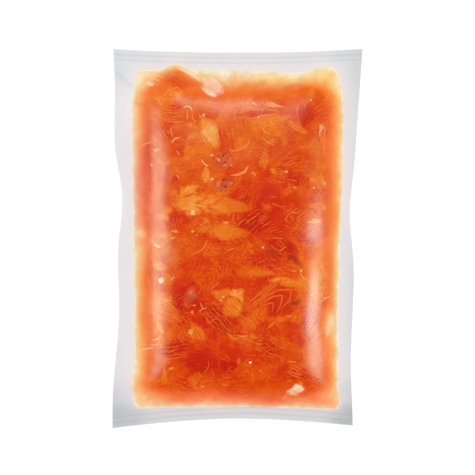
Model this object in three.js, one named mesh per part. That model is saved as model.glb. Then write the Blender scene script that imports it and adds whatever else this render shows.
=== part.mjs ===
// A one kilogram pouch of smoked salmon trimmings, sealed under vacuum and lying flat.
// Two clear films are welded together all round a slab of overlapping salmon pieces, and cling to it.
// The full pouch is one closed solid: its top, its underside and the thin welded margin round them.
//
// Millimetres. +Z is up, +Y points to the head seal and +X to the right of the shown face.
// The origin is under the middle of the pouch, on the surface that it rests on.

import * as THREE from "three";

// ---- Driving dimensions, in millimetres ----

const POUCH_LENGTH = 301; // corner to corner, head to foot
const HEAD_WIDTH = 198.5;
const FOOT_WIDTH = 191;
const LEAN_LENGTH = 105; // the right edge leans in from the head over this length, then runs straight
const FOOT_SKEW = 1.2; // the right foot corner lies this much higher than the left one
const HEAD_SAG = 3.1; // how far the filled pouch pulls the middle of its head edge in
const FOOT_SAG = 7.2;

const SLAB_LENGTH = 267;
const SLAB_WIDTH = 168.4;
const LEFT_TAPER = 2.6; // the slab's left side leans in by this much towards the foot
const RIGHT_TAPER = 4.5;
const HEAD_PINCH = 3.5; // both sides lean in by this much beside the head
const LEFT_SPREAD = [-117, 13, 2.8]; // near the foot the left side spreads: Y, half width and reach
const RIGHT_SPREAD = [-130, 8, 2.2];
const SLAB_CORNER = 6; // radius of the slab's corners, seen from above
const SLAB_RAGGED = 0.3; // how unevenly the pieces fill the slab's outline
const FOOT_BOW = 2; // how far the slab's foot edge bows out of a straight line over half its width
const FOOT_BOW_MIDDLE = -15; // X of the place from where it bows both ways
const HEAD_FLAPS = [
  // Pieces that stick out of the slab's head, and a dip between them: X, half width and reach of each.
  [-50, 8, 5],
  [38, 20, -1.9],
  [69, 8, 2.6],
];

const PACK_HEIGHT = 27.2;
const SEAM_HEIGHT = 8.5; // where the two films meet beside the slab
const FLARE = 9; // how far in from the slab's edge the top rises steeply
const TOP_SHOULDER = 44; // how far in it goes on rising
const BASE_SHOULDER = 15; // the same for the underside, which is flat further in
const SHOULDER_POWER = 3; // the higher, the sooner a shoulder levels off
const FLARE_POWER = 1.15; // the higher, the softer a shoulder's start beside the seam
const CORNER_BLEND = 12; // over which the slope from a side of the slab turns into the slope from an end
const CROWN = 2.2; // how much higher the slab is in its middle than at its shoulders

const WELD_THICKNESS = 0.5; // both films together
const MARGIN_DROOP = 4.2; // how far the free edge hangs below the seam
const DROOP_REACH = 20;
const MARGIN_WAVE = 1.3;
const RIB_WIDTH = 4.2; // head and foot are each sealed by two pressed ribs, with a groove beside each
const RIB_COUNT = 2;
const RIB_RELIEF = 0.3; // how much thicker a rib is than its groove
const GROOVE_WIDTH = 1;

const PIECE_PITCH = 23; // mean distance between the salmon pieces on top
const PIECE_LENGTH = [32, 50];
const PIECE_WIDTH = [21, 32];
const PIECE_LIFT = 1; // each lies up to this much above or below the mean surface
const PIECE_EDGE = 2; // how far a piece's rim curves down from its middle
const PIECE_DIP = 1.6; // the deepest gap between pieces that the film spans
const PIECE_JITTER = 0.7; // how far a piece strays from its place, as a share of the pitch
const PIECE_SEED = 20260;

// ---- Grid: how many cells divide each stretch of the pouch ----

const SIDE_MARGIN_CELLS = 3;
const FLARE_CELLS = 3;
const SHOULDER_CELLS = 6;
const MIDDLE_COLUMNS = 15;
const MIDDLE_ROWS = 30;

const { clamp, lerp, smoothstep } = THREE.MathUtils;
const [LEFT, RIGHT] = [-1, 1];
const [FOOT, HEAD] = [-1, 1];

// ---- Outlines, seen from above ----

/** A smooth bump that is 1 at the centre and fades over the width. */
const bump = (value, centre, width) => Math.exp(-(((value - centre) / width) ** 2));

/** How far the vacuum pulls the left side of the pouch in at its waists, from head to foot. */
const leftWaists = (y) =>
  2 * bump(y, 115, 35) + 7.4 * bump(y, 32, 34) + 5.4 * bump(y, -54, 56) - 0.8 * bump(y, -115, 30);

/** The same for the right side, which bulges out a little between its waists. */
const rightWaists = (y) => 2.8 * bump(y, 19, 24) - 0.6 * bump(y, -30, 20) + 1.9 * bump(y, -100, 36);

/** X of the pouch's left or right edge at a given Y. Only the right edge leans in towards the foot. */
function pouchSide(side, y) {
  if (side === LEFT) return leftWaists(y) - HEAD_WIDTH / 2;
  const lean = (HEAD_WIDTH - FOOT_WIDTH) * clamp((POUCH_LENGTH / 2 - y) / LEAN_LENGTH, 0, 1);
  return HEAD_WIDTH / 2 - lean - rightWaists(y);
}

/** 0 in the middle of the pouch and 1 at its side edges. */
const acrossPouch = (x) => clamp(Math.abs(2 * x) / HEAD_WIDTH, 0, 1);

/** Y of the pouch's head edge at a given X, pulled in between its corners. */
const headEdge = (x) => POUCH_LENGTH / 2 - HEAD_SAG * (1 - acrossPouch(x) ** 2.2);

/** Y of the pouch's foot edge at a given X. */
function footEdge(x) {
  const skew = FOOT_SKEW * (x / HEAD_WIDTH + 0.5);
  return -POUCH_LENGTH / 2 + skew + FOOT_SAG * (1 - acrossPouch(x) ** 1.7);
}

/** How far the slab's edge stands back from a straight line: its corners are round, the rest uneven. */
function edgeInset(along, fromCorner, phase) {
  const reach = clamp(1 - fromCorner / SLAB_CORNER, 0, Math.SQRT1_2);
  const rounding = SLAB_CORNER * (1 - Math.sqrt(1 - reach * reach));
  const wave = 0.6 * Math.sin(along / 11 + phase) + 0.4 * Math.sin(along / 5.3 + 2 * phase);
  return rounding + SLAB_RAGGED * wave * smoothstep(fromCorner, SLAB_CORNER / 2, 2 * SLAB_CORNER);
}

/** How far a place where the slab reaches further out carries its edge at a given X or Y. */
const bulge = ([middle, halfWidth, reach], along) => reach * bump(along, middle, halfWidth);

/** How far out from the middle a smooth left or right side of the slab would be at a given Y. */
function smoothSide(side, y) {
  const lean = side === RIGHT ? RIGHT_TAPER * smoothstep(-y, -90, 60) : LEFT_TAPER * smoothstep(-y, -110, 70);
  const pinch = HEAD_PINCH * smoothstep(y, 100, SLAB_LENGTH / 2);
  return SLAB_WIDTH / 2 - lean - pinch + bulge(side === RIGHT ? RIGHT_SPREAD : LEFT_SPREAD, y);
}

/** X of the slab's left or right edge at a given Y. */
function slabSide(side, y) {
  const inset = edgeInset(y, SLAB_LENGTH / 2 - Math.abs(y), side);
  return side * (smoothSide(side, y) - inset);
}

/** How far the head or foot edge of the slab reaches beyond a straight line at a given X. */
function endReach(end, x) {
  if (end === HEAD) return HEAD_FLAPS.reduce((sum, flap) => sum + bulge(flap, x), 0);
  return FOOT_BOW * ((2 * (x - FOOT_BOW_MIDDLE)) / SLAB_WIDTH) ** 2;
}

/** Y of the slab's head or foot edge at a given X. */
function slabEnd(end, x) {
  const fromCorner = smoothSide(x < 0 ? LEFT : RIGHT, (end * SLAB_LENGTH) / 2) - Math.abs(x);
  return end * (SLAB_LENGTH / 2 - edgeInset(x, fromCorner, 3 * end) + endReach(end, x));
}

/** How far a point lies in from the nearer side and from the nearer end of the slab. Negative outside. */
function insetsInSlab(x, y) {
  const fromSides = Math.min(x - slabSide(LEFT, y), slabSide(RIGHT, y) - x);
  const fromEnds = Math.min(y - slabEnd(FOOT, x), slabEnd(HEAD, x) - y);
  return [fromSides, fromEnds];
}

/** How far a point lies inside the slab's outline. Negative outside. */
const depthInSlab = (x, y) => Math.min(...insetsInSlab(x, y));

/** The same depth, but with contours that are round where a side meets an end. */
function roundedDepth(x, y) {
  const [fromSides, fromEnds] = insetsInSlab(x, y);
  const nearer = Math.min(fromSides, fromEnds);
  if (nearer <= 0) return nearer;
  const blend = Math.min(fromSides + fromEnds, CORNER_BLEND);
  const meeting = clamp(1 - Math.abs(fromSides - fromEnds) / blend, 0, 1);
  return nearer - (meeting ** 2 * blend) / 4;
}

// ---- Salmon pieces ----

/** A seeded random number source (mulberry32), so that every build is the same. */
function randomSource(seed) {
  let state = seed >>> 0;
  return () => {
    state = (state + 0x6d2b79f5) >>> 0;
    let t = state;
    t = Math.imul(t ^ (t >>> 15), t | 1);
    t ^= t + Math.imul(t ^ (t >>> 7), t | 61);
    return ((t ^ (t >>> 14)) >>> 0) / 4294967296;
  };
}

/** The top layer of pieces: a jittered grid of ovals, each turned and lifted by chance. */
function layPieces() {
  const random = randomSource(PIECE_SEED);
  const across = Math.round(SLAB_WIDTH / PIECE_PITCH);
  const along = Math.round(SLAB_LENGTH / PIECE_PITCH);
  const strayed = (place) => place + 0.5 + (random() - 0.5) * PIECE_JITTER;
  const pieces = [];
  for (let i = 0; i < across * along; i++) {
    const x = (strayed(i % across) / across - 0.5) * SLAB_WIDTH;
    const y = (strayed(Math.floor(i / across)) / along - 0.5) * SLAB_LENGTH;
    const angle = random() * Math.PI;
    const halfLength = lerp(...PIECE_LENGTH, random()) / 2;
    const halfWidth = lerp(...PIECE_WIDTH, random()) / 2;
    const lift = lerp(-PIECE_LIFT, PIECE_LIFT, random());
    pieces.push({ x, y, cos: Math.cos(angle), sin: Math.sin(angle), halfLength, halfWidth, lift });
  }
  return pieces;
}

const pieces = layPieces();

/** How far the pieces raise or lower the film at a point: the highest piece there carries it. */
function pieceRelief(x, y) {
  let highest = -PIECE_DIP;
  for (const piece of pieces) {
    const along = ((x - piece.x) * piece.cos + (y - piece.y) * piece.sin) / piece.halfLength;
    const across = ((y - piece.y) * piece.cos - (x - piece.x) * piece.sin) / piece.halfWidth;
    const fromMiddle = along * along + across * across;
    highest = Math.max(highest, piece.lift - PIECE_EDGE * fromMiddle * fromMiddle);
  }
  return highest;
}

// ---- Heights of the two films ----

/** Rises from 0 to 1 over the reach: a short flare where the film leaves the seam, then a shoulder. */
function shoulder(depth, reach) {
  const toGo = 1 - clamp(depth / reach, 0, 1);
  return (1 - toGo ** SHOULDER_POWER) ** FLARE_POWER;
}

/** Height of the welded films beside the slab: they hang down towards their edge in slow waves. */
function marginHeight(x, y, depth) {
  const out = clamp(-depth / DROOP_REACH, 0, 1);
  const endWave = Math.sin(x / 19) * smoothstep(Math.abs(y), SLAB_LENGTH / 2 - 10, POUCH_LENGTH / 2);
  const wave = Math.sin(y / 23 + x / 80) + endWave;
  return SEAM_HEIGHT - MARGIN_DROOP * smoothstep(out, 0, 1) + MARGIN_WAVE * out * wave;
}

/** Thickness of the welded films. The head and foot seals have ribs with a groove beside each. */
function weldThickness(x, y) {
  const fromEdge = Math.min(headEdge(x) - y, y - footEdge(x));
  if (fromEdge > RIB_COUNT * RIB_WIDTH) return WELD_THICKNESS;
  const groove = Math.max(1, Math.round(fromEdge / RIB_WIDTH)) * RIB_WIDTH;
  return WELD_THICKNESS + RIB_RELIEF * smoothstep(Math.abs(fromEdge - groove), 0, GROOVE_WIDTH / 2);
}

/** Height of the pouch's top film at a point. */
function topHeight(x, y) {
  const depth = roundedDepth(x, y);
  const seam = marginHeight(x, y, depth) + weldThickness(x, y) / 2;
  const fall = 1 - (1 - acrossPouch(x) ** 2) * (1 - ((2 * y) / SLAB_LENGTH) ** 2);
  const slabTop = PACK_HEIGHT - PIECE_LIFT - CROWN * fall + pieceRelief(x, y);
  return lerp(seam, slabTop, shoulder(depth, TOP_SHOULDER));
}

/** Height of the pouch's underside, which is flat where the slab rests. */
function baseHeight(x, y) {
  const depth = depthInSlab(x, y);
  const seam = marginHeight(x, y, depth) - weldThickness(x, y) / 2;
  return lerp(seam, 0, shoulder(depth, BASE_SHOULDER));
}

// ---- Grid ----

/** Grid lines over stretches with the given numbers of cells: 2.5 is halfway along the third stretch. */
const gridLines = (cells) => [
  ...cells.flatMap((count, stretch) => Array.from({ length: count }, (_, i) => stretch + i / count)),
  cells.length,
];

/** Where a grid line lies among the stops that its stretches run between. */
function placeLine(line, stops) {
  const stretch = Math.min(Math.floor(line), stops.length - 2);
  return lerp(stops[stretch], stops[stretch + 1], line - stretch);
}

/** The stops across the slab: its edge, flare and shoulder, and the same in turn on the far side. */
const slabStops = (near, far) => [
  near,
  near + FLARE,
  near + TOP_SHOULDER,
  far - TOP_SHOULDER,
  far - FLARE,
  far,
];

/** The stops from the left edge of the pouch to its right edge at a given Y. */
const columnStops = (y) => [
  pouchSide(LEFT, y),
  ...slabStops(slabSide(LEFT, y), slabSide(RIGHT, y)),
  pouchSide(RIGHT, y),
];

/** How far in from the head or foot edge a rib ends, its groove is deepest and the next rib starts. */
const sealInsets = Array.from({ length: RIB_COUNT }, (_, i) => (i + 1) * RIB_WIDTH).flatMap((groove) => [
  groove - GROOVE_WIDTH / 2,
  groove,
  groove + GROOVE_WIDTH / 2,
]);

/** The stops from the foot edge of the pouch to its head edge at a given X. */
function rowStops(x) {
  const [foot, head] = [footEdge(x), headEdge(x)];
  const footSeal = sealInsets.map((inset) => foot + inset);
  const headSeal = sealInsets.map((inset) => head - inset).reverse();
  return [foot, ...footSeal, ...slabStops(slabEnd(FOOT, x), slabEnd(HEAD, x)), ...headSeal, head];
}

const slabCells = (middle) => [FLARE_CELLS, SHOULDER_CELLS, middle, SHOULDER_CELLS, FLARE_CELLS];
const sealCells = Array(sealInsets.length + 1).fill(1);
const columns = gridLines([SIDE_MARGIN_CELLS, ...slabCells(MIDDLE_COLUMNS), SIDE_MARGIN_CELLS]);
const rows = gridLines([...sealCells, ...slabCells(MIDDLE_ROWS), ...sealCells]);

/** Where a column and a row cross. Each bends with the other, so the place is found in a few passes. */
function crossing(column, row) {
  let x = 0;
  let y = 0;
  for (let pass = 0; pass < 12; pass++) {
    x = placeLine(column, columnStops(y));
    y = placeLine(row, rowStops(x));
  }
  return { x, y };
}

// ---- The solid ----

/** Splits each of a box geometry's cells along its shorter diagonal, so that round corners stay round. */
function splitAlongShorterDiagonals(geometry) {
  const index = geometry.getIndex();
  const position = geometry.getAttribute("position");
  const vertex = (i) => new THREE.Vector3().fromBufferAttribute(position, i);
  for (let cell = 0; cell < index.count; cell += 6) {
    const [a, b, d, , c] = index.array.subarray(cell, cell + 6);
    const flips = vertex(a).distanceTo(vertex(c)) < vertex(b).distanceTo(vertex(d));
    if (flips) index.array.set([a, b, c, a, c, d], cell);
  }
}

/** Shapes a finely divided flat box into the pouch: the box's upper face becomes the top film. */
function pouchGeometry() {
  const columnCells = columns.length - 1;
  const rowCells = rows.length - 1;
  const geometry = new THREE.BoxGeometry(columnCells, rowCells, 1, columnCells, rowCells, 1);
  const position = geometry.getAttribute("position");
  for (let i = 0; i < position.count; i++) {
    const column = columns[Math.round(position.getX(i) + columnCells / 2)];
    const row = rows[Math.round(position.getY(i) + rowCells / 2)];
    const { x, y } = crossing(column, row);
    const z = position.getZ(i) > 0 ? topHeight(x, y) : baseHeight(x, y);
    position.setXYZ(i, x, y, z);
  }
  splitAlongShorterDiagonals(geometry);
  geometry.computeBoundingBox();
  const { min, max } = geometry.boundingBox;
  geometry.translate(-(min.x + max.x) / 2, -(min.y + max.y) / 2, -min.z);
  geometry.computeVertexNormals();
  return geometry;
}

const salmonUnderFilm = new THREE.MeshStandardMaterial({ color: 0xd9531e, roughness: 0.3, metalness: 0 });

const sealedPouch = new THREE.Mesh(pouchGeometry(), salmonUnderFilm);
sealedPouch.name = "sealed_pouch";

const pack = new THREE.Group();
pack.add(sealedPouch);

export default pack;
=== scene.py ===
"""Looks of a flat vacuum pouch of smoked salmon trimmings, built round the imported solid.

The clear film, the slab of fish inside it and the many overlapping pieces on the slab take the place of the
solid sealed_pouch. Their outlines and heights follow the same rules as the solid's, so they fit its space.
Shapes are worked out in millimetres and turned into metres where a mesh is made.
"""

import math

import bpy
import numpy as np
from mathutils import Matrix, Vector


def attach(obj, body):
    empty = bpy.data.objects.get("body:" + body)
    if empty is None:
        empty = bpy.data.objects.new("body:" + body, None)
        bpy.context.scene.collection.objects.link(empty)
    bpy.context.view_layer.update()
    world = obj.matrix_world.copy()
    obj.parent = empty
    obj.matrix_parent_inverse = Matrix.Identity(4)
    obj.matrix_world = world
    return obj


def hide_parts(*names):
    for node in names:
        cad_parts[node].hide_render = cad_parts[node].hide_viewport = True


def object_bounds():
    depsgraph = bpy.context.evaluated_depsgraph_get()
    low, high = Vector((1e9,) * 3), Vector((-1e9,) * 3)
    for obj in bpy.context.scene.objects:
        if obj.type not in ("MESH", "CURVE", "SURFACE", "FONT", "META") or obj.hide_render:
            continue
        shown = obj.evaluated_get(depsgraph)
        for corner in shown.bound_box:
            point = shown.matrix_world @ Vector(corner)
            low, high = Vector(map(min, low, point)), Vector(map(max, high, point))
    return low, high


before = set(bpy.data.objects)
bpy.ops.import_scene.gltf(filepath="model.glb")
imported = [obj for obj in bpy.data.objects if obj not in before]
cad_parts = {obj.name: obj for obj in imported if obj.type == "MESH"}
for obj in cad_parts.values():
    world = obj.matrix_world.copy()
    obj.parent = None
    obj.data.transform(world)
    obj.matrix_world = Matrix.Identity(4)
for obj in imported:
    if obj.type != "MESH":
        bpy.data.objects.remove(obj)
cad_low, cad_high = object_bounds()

MM = 0.001

# ---- The pouch and its slab, in millimetres, as the solid has them ----

POUCH_LENGTH = 301.0
HEAD_WIDTH = 198.5
FOOT_WIDTH = 191.0
LEAN_LENGTH = 105.0
FOOT_SKEW = 1.2
HEAD_SAG = 3.1
FOOT_SAG = 7.2
LEFT_WAISTS = ((115, 35, 2), (32, 34, 7.4), (-54, 56, 5.4), (-115, 30, -0.8))  # Y, half width and depth
RIGHT_WAISTS = ((19, 24, 2.8), (-30, 20, -0.6), (-100, 36, 1.9))

SLAB_LENGTH = 267.0
SLAB_WIDTH = 168.4
LEFT_TAPER = 2.6
RIGHT_TAPER = 4.5
HEAD_PINCH = 3.5
LEFT_SPREAD = (-117, 13, 2.8)  # Y, half width and reach
RIGHT_SPREAD = (-130, 8, 2.2)
SLAB_CORNER = 6.0
SLAB_RAGGED = 0.3
FOOT_BOW = 2.0
FOOT_BOW_MIDDLE = -15.0
HEAD_FLAPS = ((-50, 8, 5), (38, 20, -1.9), (69, 8, 2.6))  # X, half width and reach of each

PACK_HEIGHT = 27.2
SEAM_HEIGHT = 8.5
FLARE = 9.0
TOP_SHOULDER = 44.0
BASE_SHOULDER = 15.0
SHOULDER_POWER = 3.0
FLARE_POWER = 1.15
CORNER_BLEND = 12.0
CROWN = 2.2

WELD_THICKNESS = 0.5
MARGIN_DROOP = 4.2
DROOP_REACH = 20.0
MARGIN_WAVE = 1.3
RIB_WIDTH = 4.2
RIB_COUNT = 2
RIB_RELIEF = 0.3
GROOVE_WIDTH = 1.0

PIECE_PITCH = 23.0
PIECE_LENGTH = (32.0, 50.0)
PIECE_WIDTH = (21.0, 32.0)
PIECE_LIFT = 1.0
PIECE_EDGE = 2.0
PIECE_DIP = 1.6
PIECE_JITTER = 0.7
PIECE_SEED = 20260

LEFT, RIGHT = -1, 1
FOOT, HEAD = -1, 1

# ---- What only the looks need, with sizes in millimetres ----

FILM_GAP = 0.25  # between the fish and the film that clings to it
FIELD_STEP = 1.0  # of the grid that keeps the heights of film and fish
FIELD_MARGIN = (8, 10)  # of that grid beside the slab and beyond its ends
FILM_PASSES = 220  # of smoothing, so that the taut film bridges the gaps between the large flakes
UNDER_ROOM = 0.6  # between the film under the slab and the slab's core, for the flakes that lie there
EDGE_CLEARANCE = 0.8  # how far every flake stays inside the slab's outline
LARGE_DEPTH = 1.1  # from the film down to the middle of a large flake
LARGE_LIFT = 0.35  # how much of the solid's own relief a large flake adds to the film's
LARGE_ROUND = 0.9  # how much lower its rim lies
SCRAP_THICKNESS = 0.5
FLESH_THICKNESS = 0.7
FAT_THICKNESS = 0.5
DARK_THICKNESS = 0.4

LOOKS_SEED = 41
SCRAPS = 150
STREWN_ON_TOP = 360  # groups of strands
STREWN_UNDERNEATH = 240
RAGGED_WAVES = ((2, 0.5), (3, 0.45), (5, 0.3), (9, 0.16), (14, 0.1))  # how many round a flake, how strong
HALVINGS = 12  # of the range in which a flake's outline is sought
GRID_PASSES = 12  # of laying columns and rows in turn, until both lie still
GROOVE_LINES = (-2.2, -1, 0, 1, 2.2)  # grid lines across a seal's groove, in half widths of it
CORE_CELLS = ((4, 8, 40), (4, 8, 70))  # on flare, shoulder and middle of the slab's core, across and along
FILM_CELLS = ((6, 16, 66), (6, 16, 130))  # the same on the film
MARGIN_CELLS = (10, 6)  # on the film beside the slab, and between its ends and the seals


# ---- Outlines, seen from above ----


def lerp(start, end, share):
    return start + (end - start) * share


def smoothstep(value, low, high):
    share = np.clip((value - low) / (high - low), 0, 1)
    return share * share * (3 - 2 * share)


def bump(value, centre, width):
    """A smooth bump that is 1 at the centre and fades over the width."""
    return np.exp(-(((value - centre) / width) ** 2))


def bulge(place, along):
    """How far a place with its own middle, half width and reach moves an edge."""
    middle, half_width, reach = place
    return reach * bump(along, middle, half_width)


def pouch_side(side, y):
    """X of the pouch's left or right edge at a given Y."""
    if side == LEFT:
        return sum(bulge(waist, y) for waist in LEFT_WAISTS) - HEAD_WIDTH / 2
    lean = (HEAD_WIDTH - FOOT_WIDTH) * np.clip((POUCH_LENGTH / 2 - y) / LEAN_LENGTH, 0, 1)
    return HEAD_WIDTH / 2 - lean - sum(bulge(waist, y) for waist in RIGHT_WAISTS)


def across_pouch(x):
    """0 in the middle of the pouch and 1 at its side edges."""
    return np.clip(np.abs(2 * x) / HEAD_WIDTH, 0, 1)


def head_edge(x):
    return POUCH_LENGTH / 2 - HEAD_SAG * (1 - across_pouch(x) ** 2.2)


def foot_edge(x):
    return -POUCH_LENGTH / 2 + FOOT_SKEW * (x / HEAD_WIDTH + 0.5) + FOOT_SAG * (1 - across_pouch(x) ** 1.7)


def edge_inset(along, from_corner, phase):
    """How far the slab's edge stands back from a straight line: its corners are round, the rest uneven."""
    reach = np.clip(1 - from_corner / SLAB_CORNER, 0, math.sqrt(0.5))
    rounding = SLAB_CORNER * (1 - np.sqrt(1 - reach * reach))
    wave = 0.6 * np.sin(along / 11 + phase) + 0.4 * np.sin(along / 5.3 + 2 * phase)
    return rounding + SLAB_RAGGED * wave * smoothstep(from_corner, SLAB_CORNER / 2, 2 * SLAB_CORNER)


def smooth_side(side, y):
    """How far out from the middle a smooth left or right side of the slab would be."""
    lean = RIGHT_TAPER * smoothstep(-y, -90, 60) if side == RIGHT else LEFT_TAPER * smoothstep(-y, -110, 70)
    pinch = HEAD_PINCH * smoothstep(y, 100, SLAB_LENGTH / 2)
    return SLAB_WIDTH / 2 - lean - pinch + bulge(RIGHT_SPREAD if side == RIGHT else LEFT_SPREAD, y)


def slab_side(side, y):
    """X of the slab's left or right edge at a given Y."""
    return side * (smooth_side(side, y) - edge_inset(y, SLAB_LENGTH / 2 - np.abs(y), side))


def slab_end(end, x):
    """Y of the slab's head or foot edge at a given X."""
    end_y = np.full_like(x, end * SLAB_LENGTH / 2)
    side = np.where(x < 0, smooth_side(LEFT, end_y), smooth_side(RIGHT, end_y))
    flaps = sum(bulge(flap, x) for flap in HEAD_FLAPS)
    bow = FOOT_BOW * (2 * (x - FOOT_BOW_MIDDLE) / SLAB_WIDTH) ** 2
    beyond = flaps if end == HEAD else bow
    return end * (SLAB_LENGTH / 2 - edge_inset(x, side - np.abs(x), 3 * end) + beyond)


def insets_in_slab(x, y):
    """How far a point lies in from the nearer side and from the nearer end of the slab. Negative outside."""
    from_sides = np.minimum(x - slab_side(LEFT, y), slab_side(RIGHT, y) - x)
    from_ends = np.minimum(y - slab_end(FOOT, x), slab_end(HEAD, x) - y)
    return from_sides, from_ends


def depth_in_slab(x, y):
    """How far a point lies inside the slab's outline. Negative outside."""
    return np.minimum(*insets_in_slab(x, y))


# ---- Heights ----


def rounded_depth(x, y):
    """The same depth, but with contours that are round where a side meets an end."""
    from_sides, from_ends = insets_in_slab(x, y)
    nearer = np.minimum(from_sides, from_ends)
    blend = np.minimum(from_sides + from_ends, CORNER_BLEND)
    inside = nearer > 0
    meeting = np.clip(1 - np.abs(from_sides - from_ends) / np.where(inside, blend, 1), 0, 1)
    return np.where(inside, nearer - meeting**2 * blend / 4, nearer)


def shoulder(depth, reach):
    """Rises from 0 to 1 over the reach: a short flare where the film leaves the seam, then a shoulder."""
    to_go = 1 - np.clip(depth / reach, 0, 1)
    return (1 - to_go**SHOULDER_POWER) ** FLARE_POWER


def margin_height(x, y, depth):
    """Height of the welded films beside the slab."""
    out = np.clip(-depth / DROOP_REACH, 0, 1)
    end_wave = np.sin(x / 19) * smoothstep(np.abs(y), SLAB_LENGTH / 2 - 10, POUCH_LENGTH / 2)
    wave = np.sin(y / 23 + x / 80) + end_wave
    return SEAM_HEIGHT - MARGIN_DROOP * smoothstep(out, 0, 1) + MARGIN_WAVE * out * wave


def from_seal_edge(x, y):
    """Distance in from the pouch's head or foot edge, whichever is nearer."""
    return np.minimum(head_edge(x) - y, y - foot_edge(x))


def weld_thickness(x, y):
    """Thickness of the welded films, with the ribs of the head and foot seals."""
    from_edge = from_seal_edge(x, y)
    groove = np.maximum(1, np.round(from_edge / RIB_WIDTH)) * RIB_WIDTH
    rib = RIB_RELIEF * smoothstep(np.abs(from_edge - groove), 0, GROOVE_WIDTH / 2)
    return WELD_THICKNESS + np.where(from_edge > RIB_COUNT * RIB_WIDTH, 0, rib)


def top_height(x, y, relief):
    """Height of the top film where the pieces under it raise it by the relief."""
    depth = rounded_depth(x, y)
    seam = margin_height(x, y, depth) + weld_thickness(x, y) / 2
    fall = 1 - (1 - across_pouch(x) ** 2) * (1 - (2 * y / SLAB_LENGTH) ** 2)
    slab_top = PACK_HEIGHT - PIECE_LIFT - CROWN * fall + relief
    return lerp(seam, slab_top, shoulder(depth, TOP_SHOULDER))


def base_height(x, y):
    """Height of the pouch's underside."""
    depth = depth_in_slab(x, y)
    seam = margin_height(x, y, depth) - weld_thickness(x, y) / 2
    return lerp(seam, 0, shoulder(depth, BASE_SHOULDER))


# ---- The grid that film and slab are laid on ----


def grid_lines(cells):
    """Grid lines over stretches with the given numbers of cells: 2.5 is halfway along the third stretch."""
    lines = [stretch + i / count for stretch, count in enumerate(cells) for i in range(count)]
    return np.array(lines + [len(cells)], float)


def place_line(line, stops):
    """Where grid lines lie among the stops that their stretches run between."""
    stops = np.stack(np.broadcast_arrays(*stops))
    stretch = np.minimum(np.floor(line).astype(int), len(stops) - 2)[None]
    near = np.take_along_axis(stops, stretch, 0)[0]
    far = np.take_along_axis(stops, stretch + 1, 0)[0]
    return lerp(near, far, line - stretch[0])


def slab_stops(near, far):
    return [near, near + FLARE, near + TOP_SHOULDER, far - TOP_SHOULDER, far - FLARE, far]


GROOVES = [(i + 1) * RIB_WIDTH for i in range(RIB_COUNT)]
SEAL_INSETS = [groove + side * GROOVE_WIDTH / 2 for groove in GROOVES for side in GROOVE_LINES]


def lay_grid(columns, rows, with_margin):
    """X and Y of every crossing of the grid lines, over the whole pouch or over its slab alone."""
    column, row = np.meshgrid(columns, rows)
    x = np.zeros_like(column)
    y = np.zeros_like(column)
    for _ in range(GRID_PASSES):
        across = slab_stops(slab_side(LEFT, y), slab_side(RIGHT, y))
        if with_margin:
            across = [pouch_side(LEFT, y), *across, pouch_side(RIGHT, y)]
        x = place_line(column, across)
        along = slab_stops(slab_end(FOOT, x), slab_end(HEAD, x))
        if with_margin:
            foot = [foot_edge(x) + inset for inset in [0, *SEAL_INSETS]]
            head = [head_edge(x) - inset for inset in [0, *SEAL_INSETS]]
            along = [*foot, *along, *reversed(head)]
        y = place_line(row, along)
    return x, y


def slab_cells(flare, rise, middle):
    """Numbers of cells between the slab's stops."""
    return [flare, rise, middle, rise, flare]


def rim_faces(rows, columns, base):
    """Quads that join the rims of a top sheet, whose points come first, and of an equal base sheet."""
    south = list(range(columns))
    east = [columns * row + columns - 1 for row in range(rows)]
    north = [columns * (rows - 1) + column for column in reversed(range(columns))]
    west = [columns * row for row in reversed(range(rows))]
    loop = south[:-1] + east[:-1] + north[:-1] + west[:-1]
    return [[a, base + a, base + b, b] for a, b in zip(loop, loop[1:] + loop[:1])]


def sheet_faces(rows, columns, first, flipped):
    """Quads of a sheet of points numbered from first, row by row."""
    i = first + np.arange((rows - 1) * columns).reshape(rows - 1, columns)[:, :-1].ravel()
    quads = np.stack([i, i + 1, i + 1 + columns, i + columns], 1)
    return (quads[:, ::-1] if flipped else quads).tolist()


def closed_skin(x, y, top, base):
    """Points and faces of a closed solid between two sheets over the same grid."""
    rows, columns = x.shape
    points = [np.stack([x, y, z], -1).reshape(-1, 3) for z in (top, base)]
    faces = sheet_faces(rows, columns, 0, False)
    faces += sheet_faces(rows, columns, rows * columns, True)
    faces += rim_faces(rows, columns, rows * columns)
    return np.concatenate(points), faces


# ---- Random draws ----


def random_source(seed):
    """The solid's own seeded numbers (mulberry32), so that the large pieces lie where it has them."""
    mask = 0xFFFFFFFF
    state = seed

    def draw():
        nonlocal state
        state = (state + 0x6D2B79F5) & mask
        t = ((state ^ (state >> 15)) * (state | 1)) & mask
        t ^= (t + (t ^ (t >> 7)) * (t | 61)) & mask
        return ((t ^ (t >> 14)) & mask) / 2**32

    return draw


# ---- The height of the fish ----


def smoothed(z, passes):
    """Heights averaged with their neighbours on the grid, again and again."""
    for _ in range(passes):
        padded = np.pad(z, 1, "edge")
        beside = padded[:-2, 1:-1] + padded[2:, 1:-1] + padded[1:-1, :-2] + padded[1:-1, 2:]
        z = (beside + 4 * z) / 8
    return z


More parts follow.
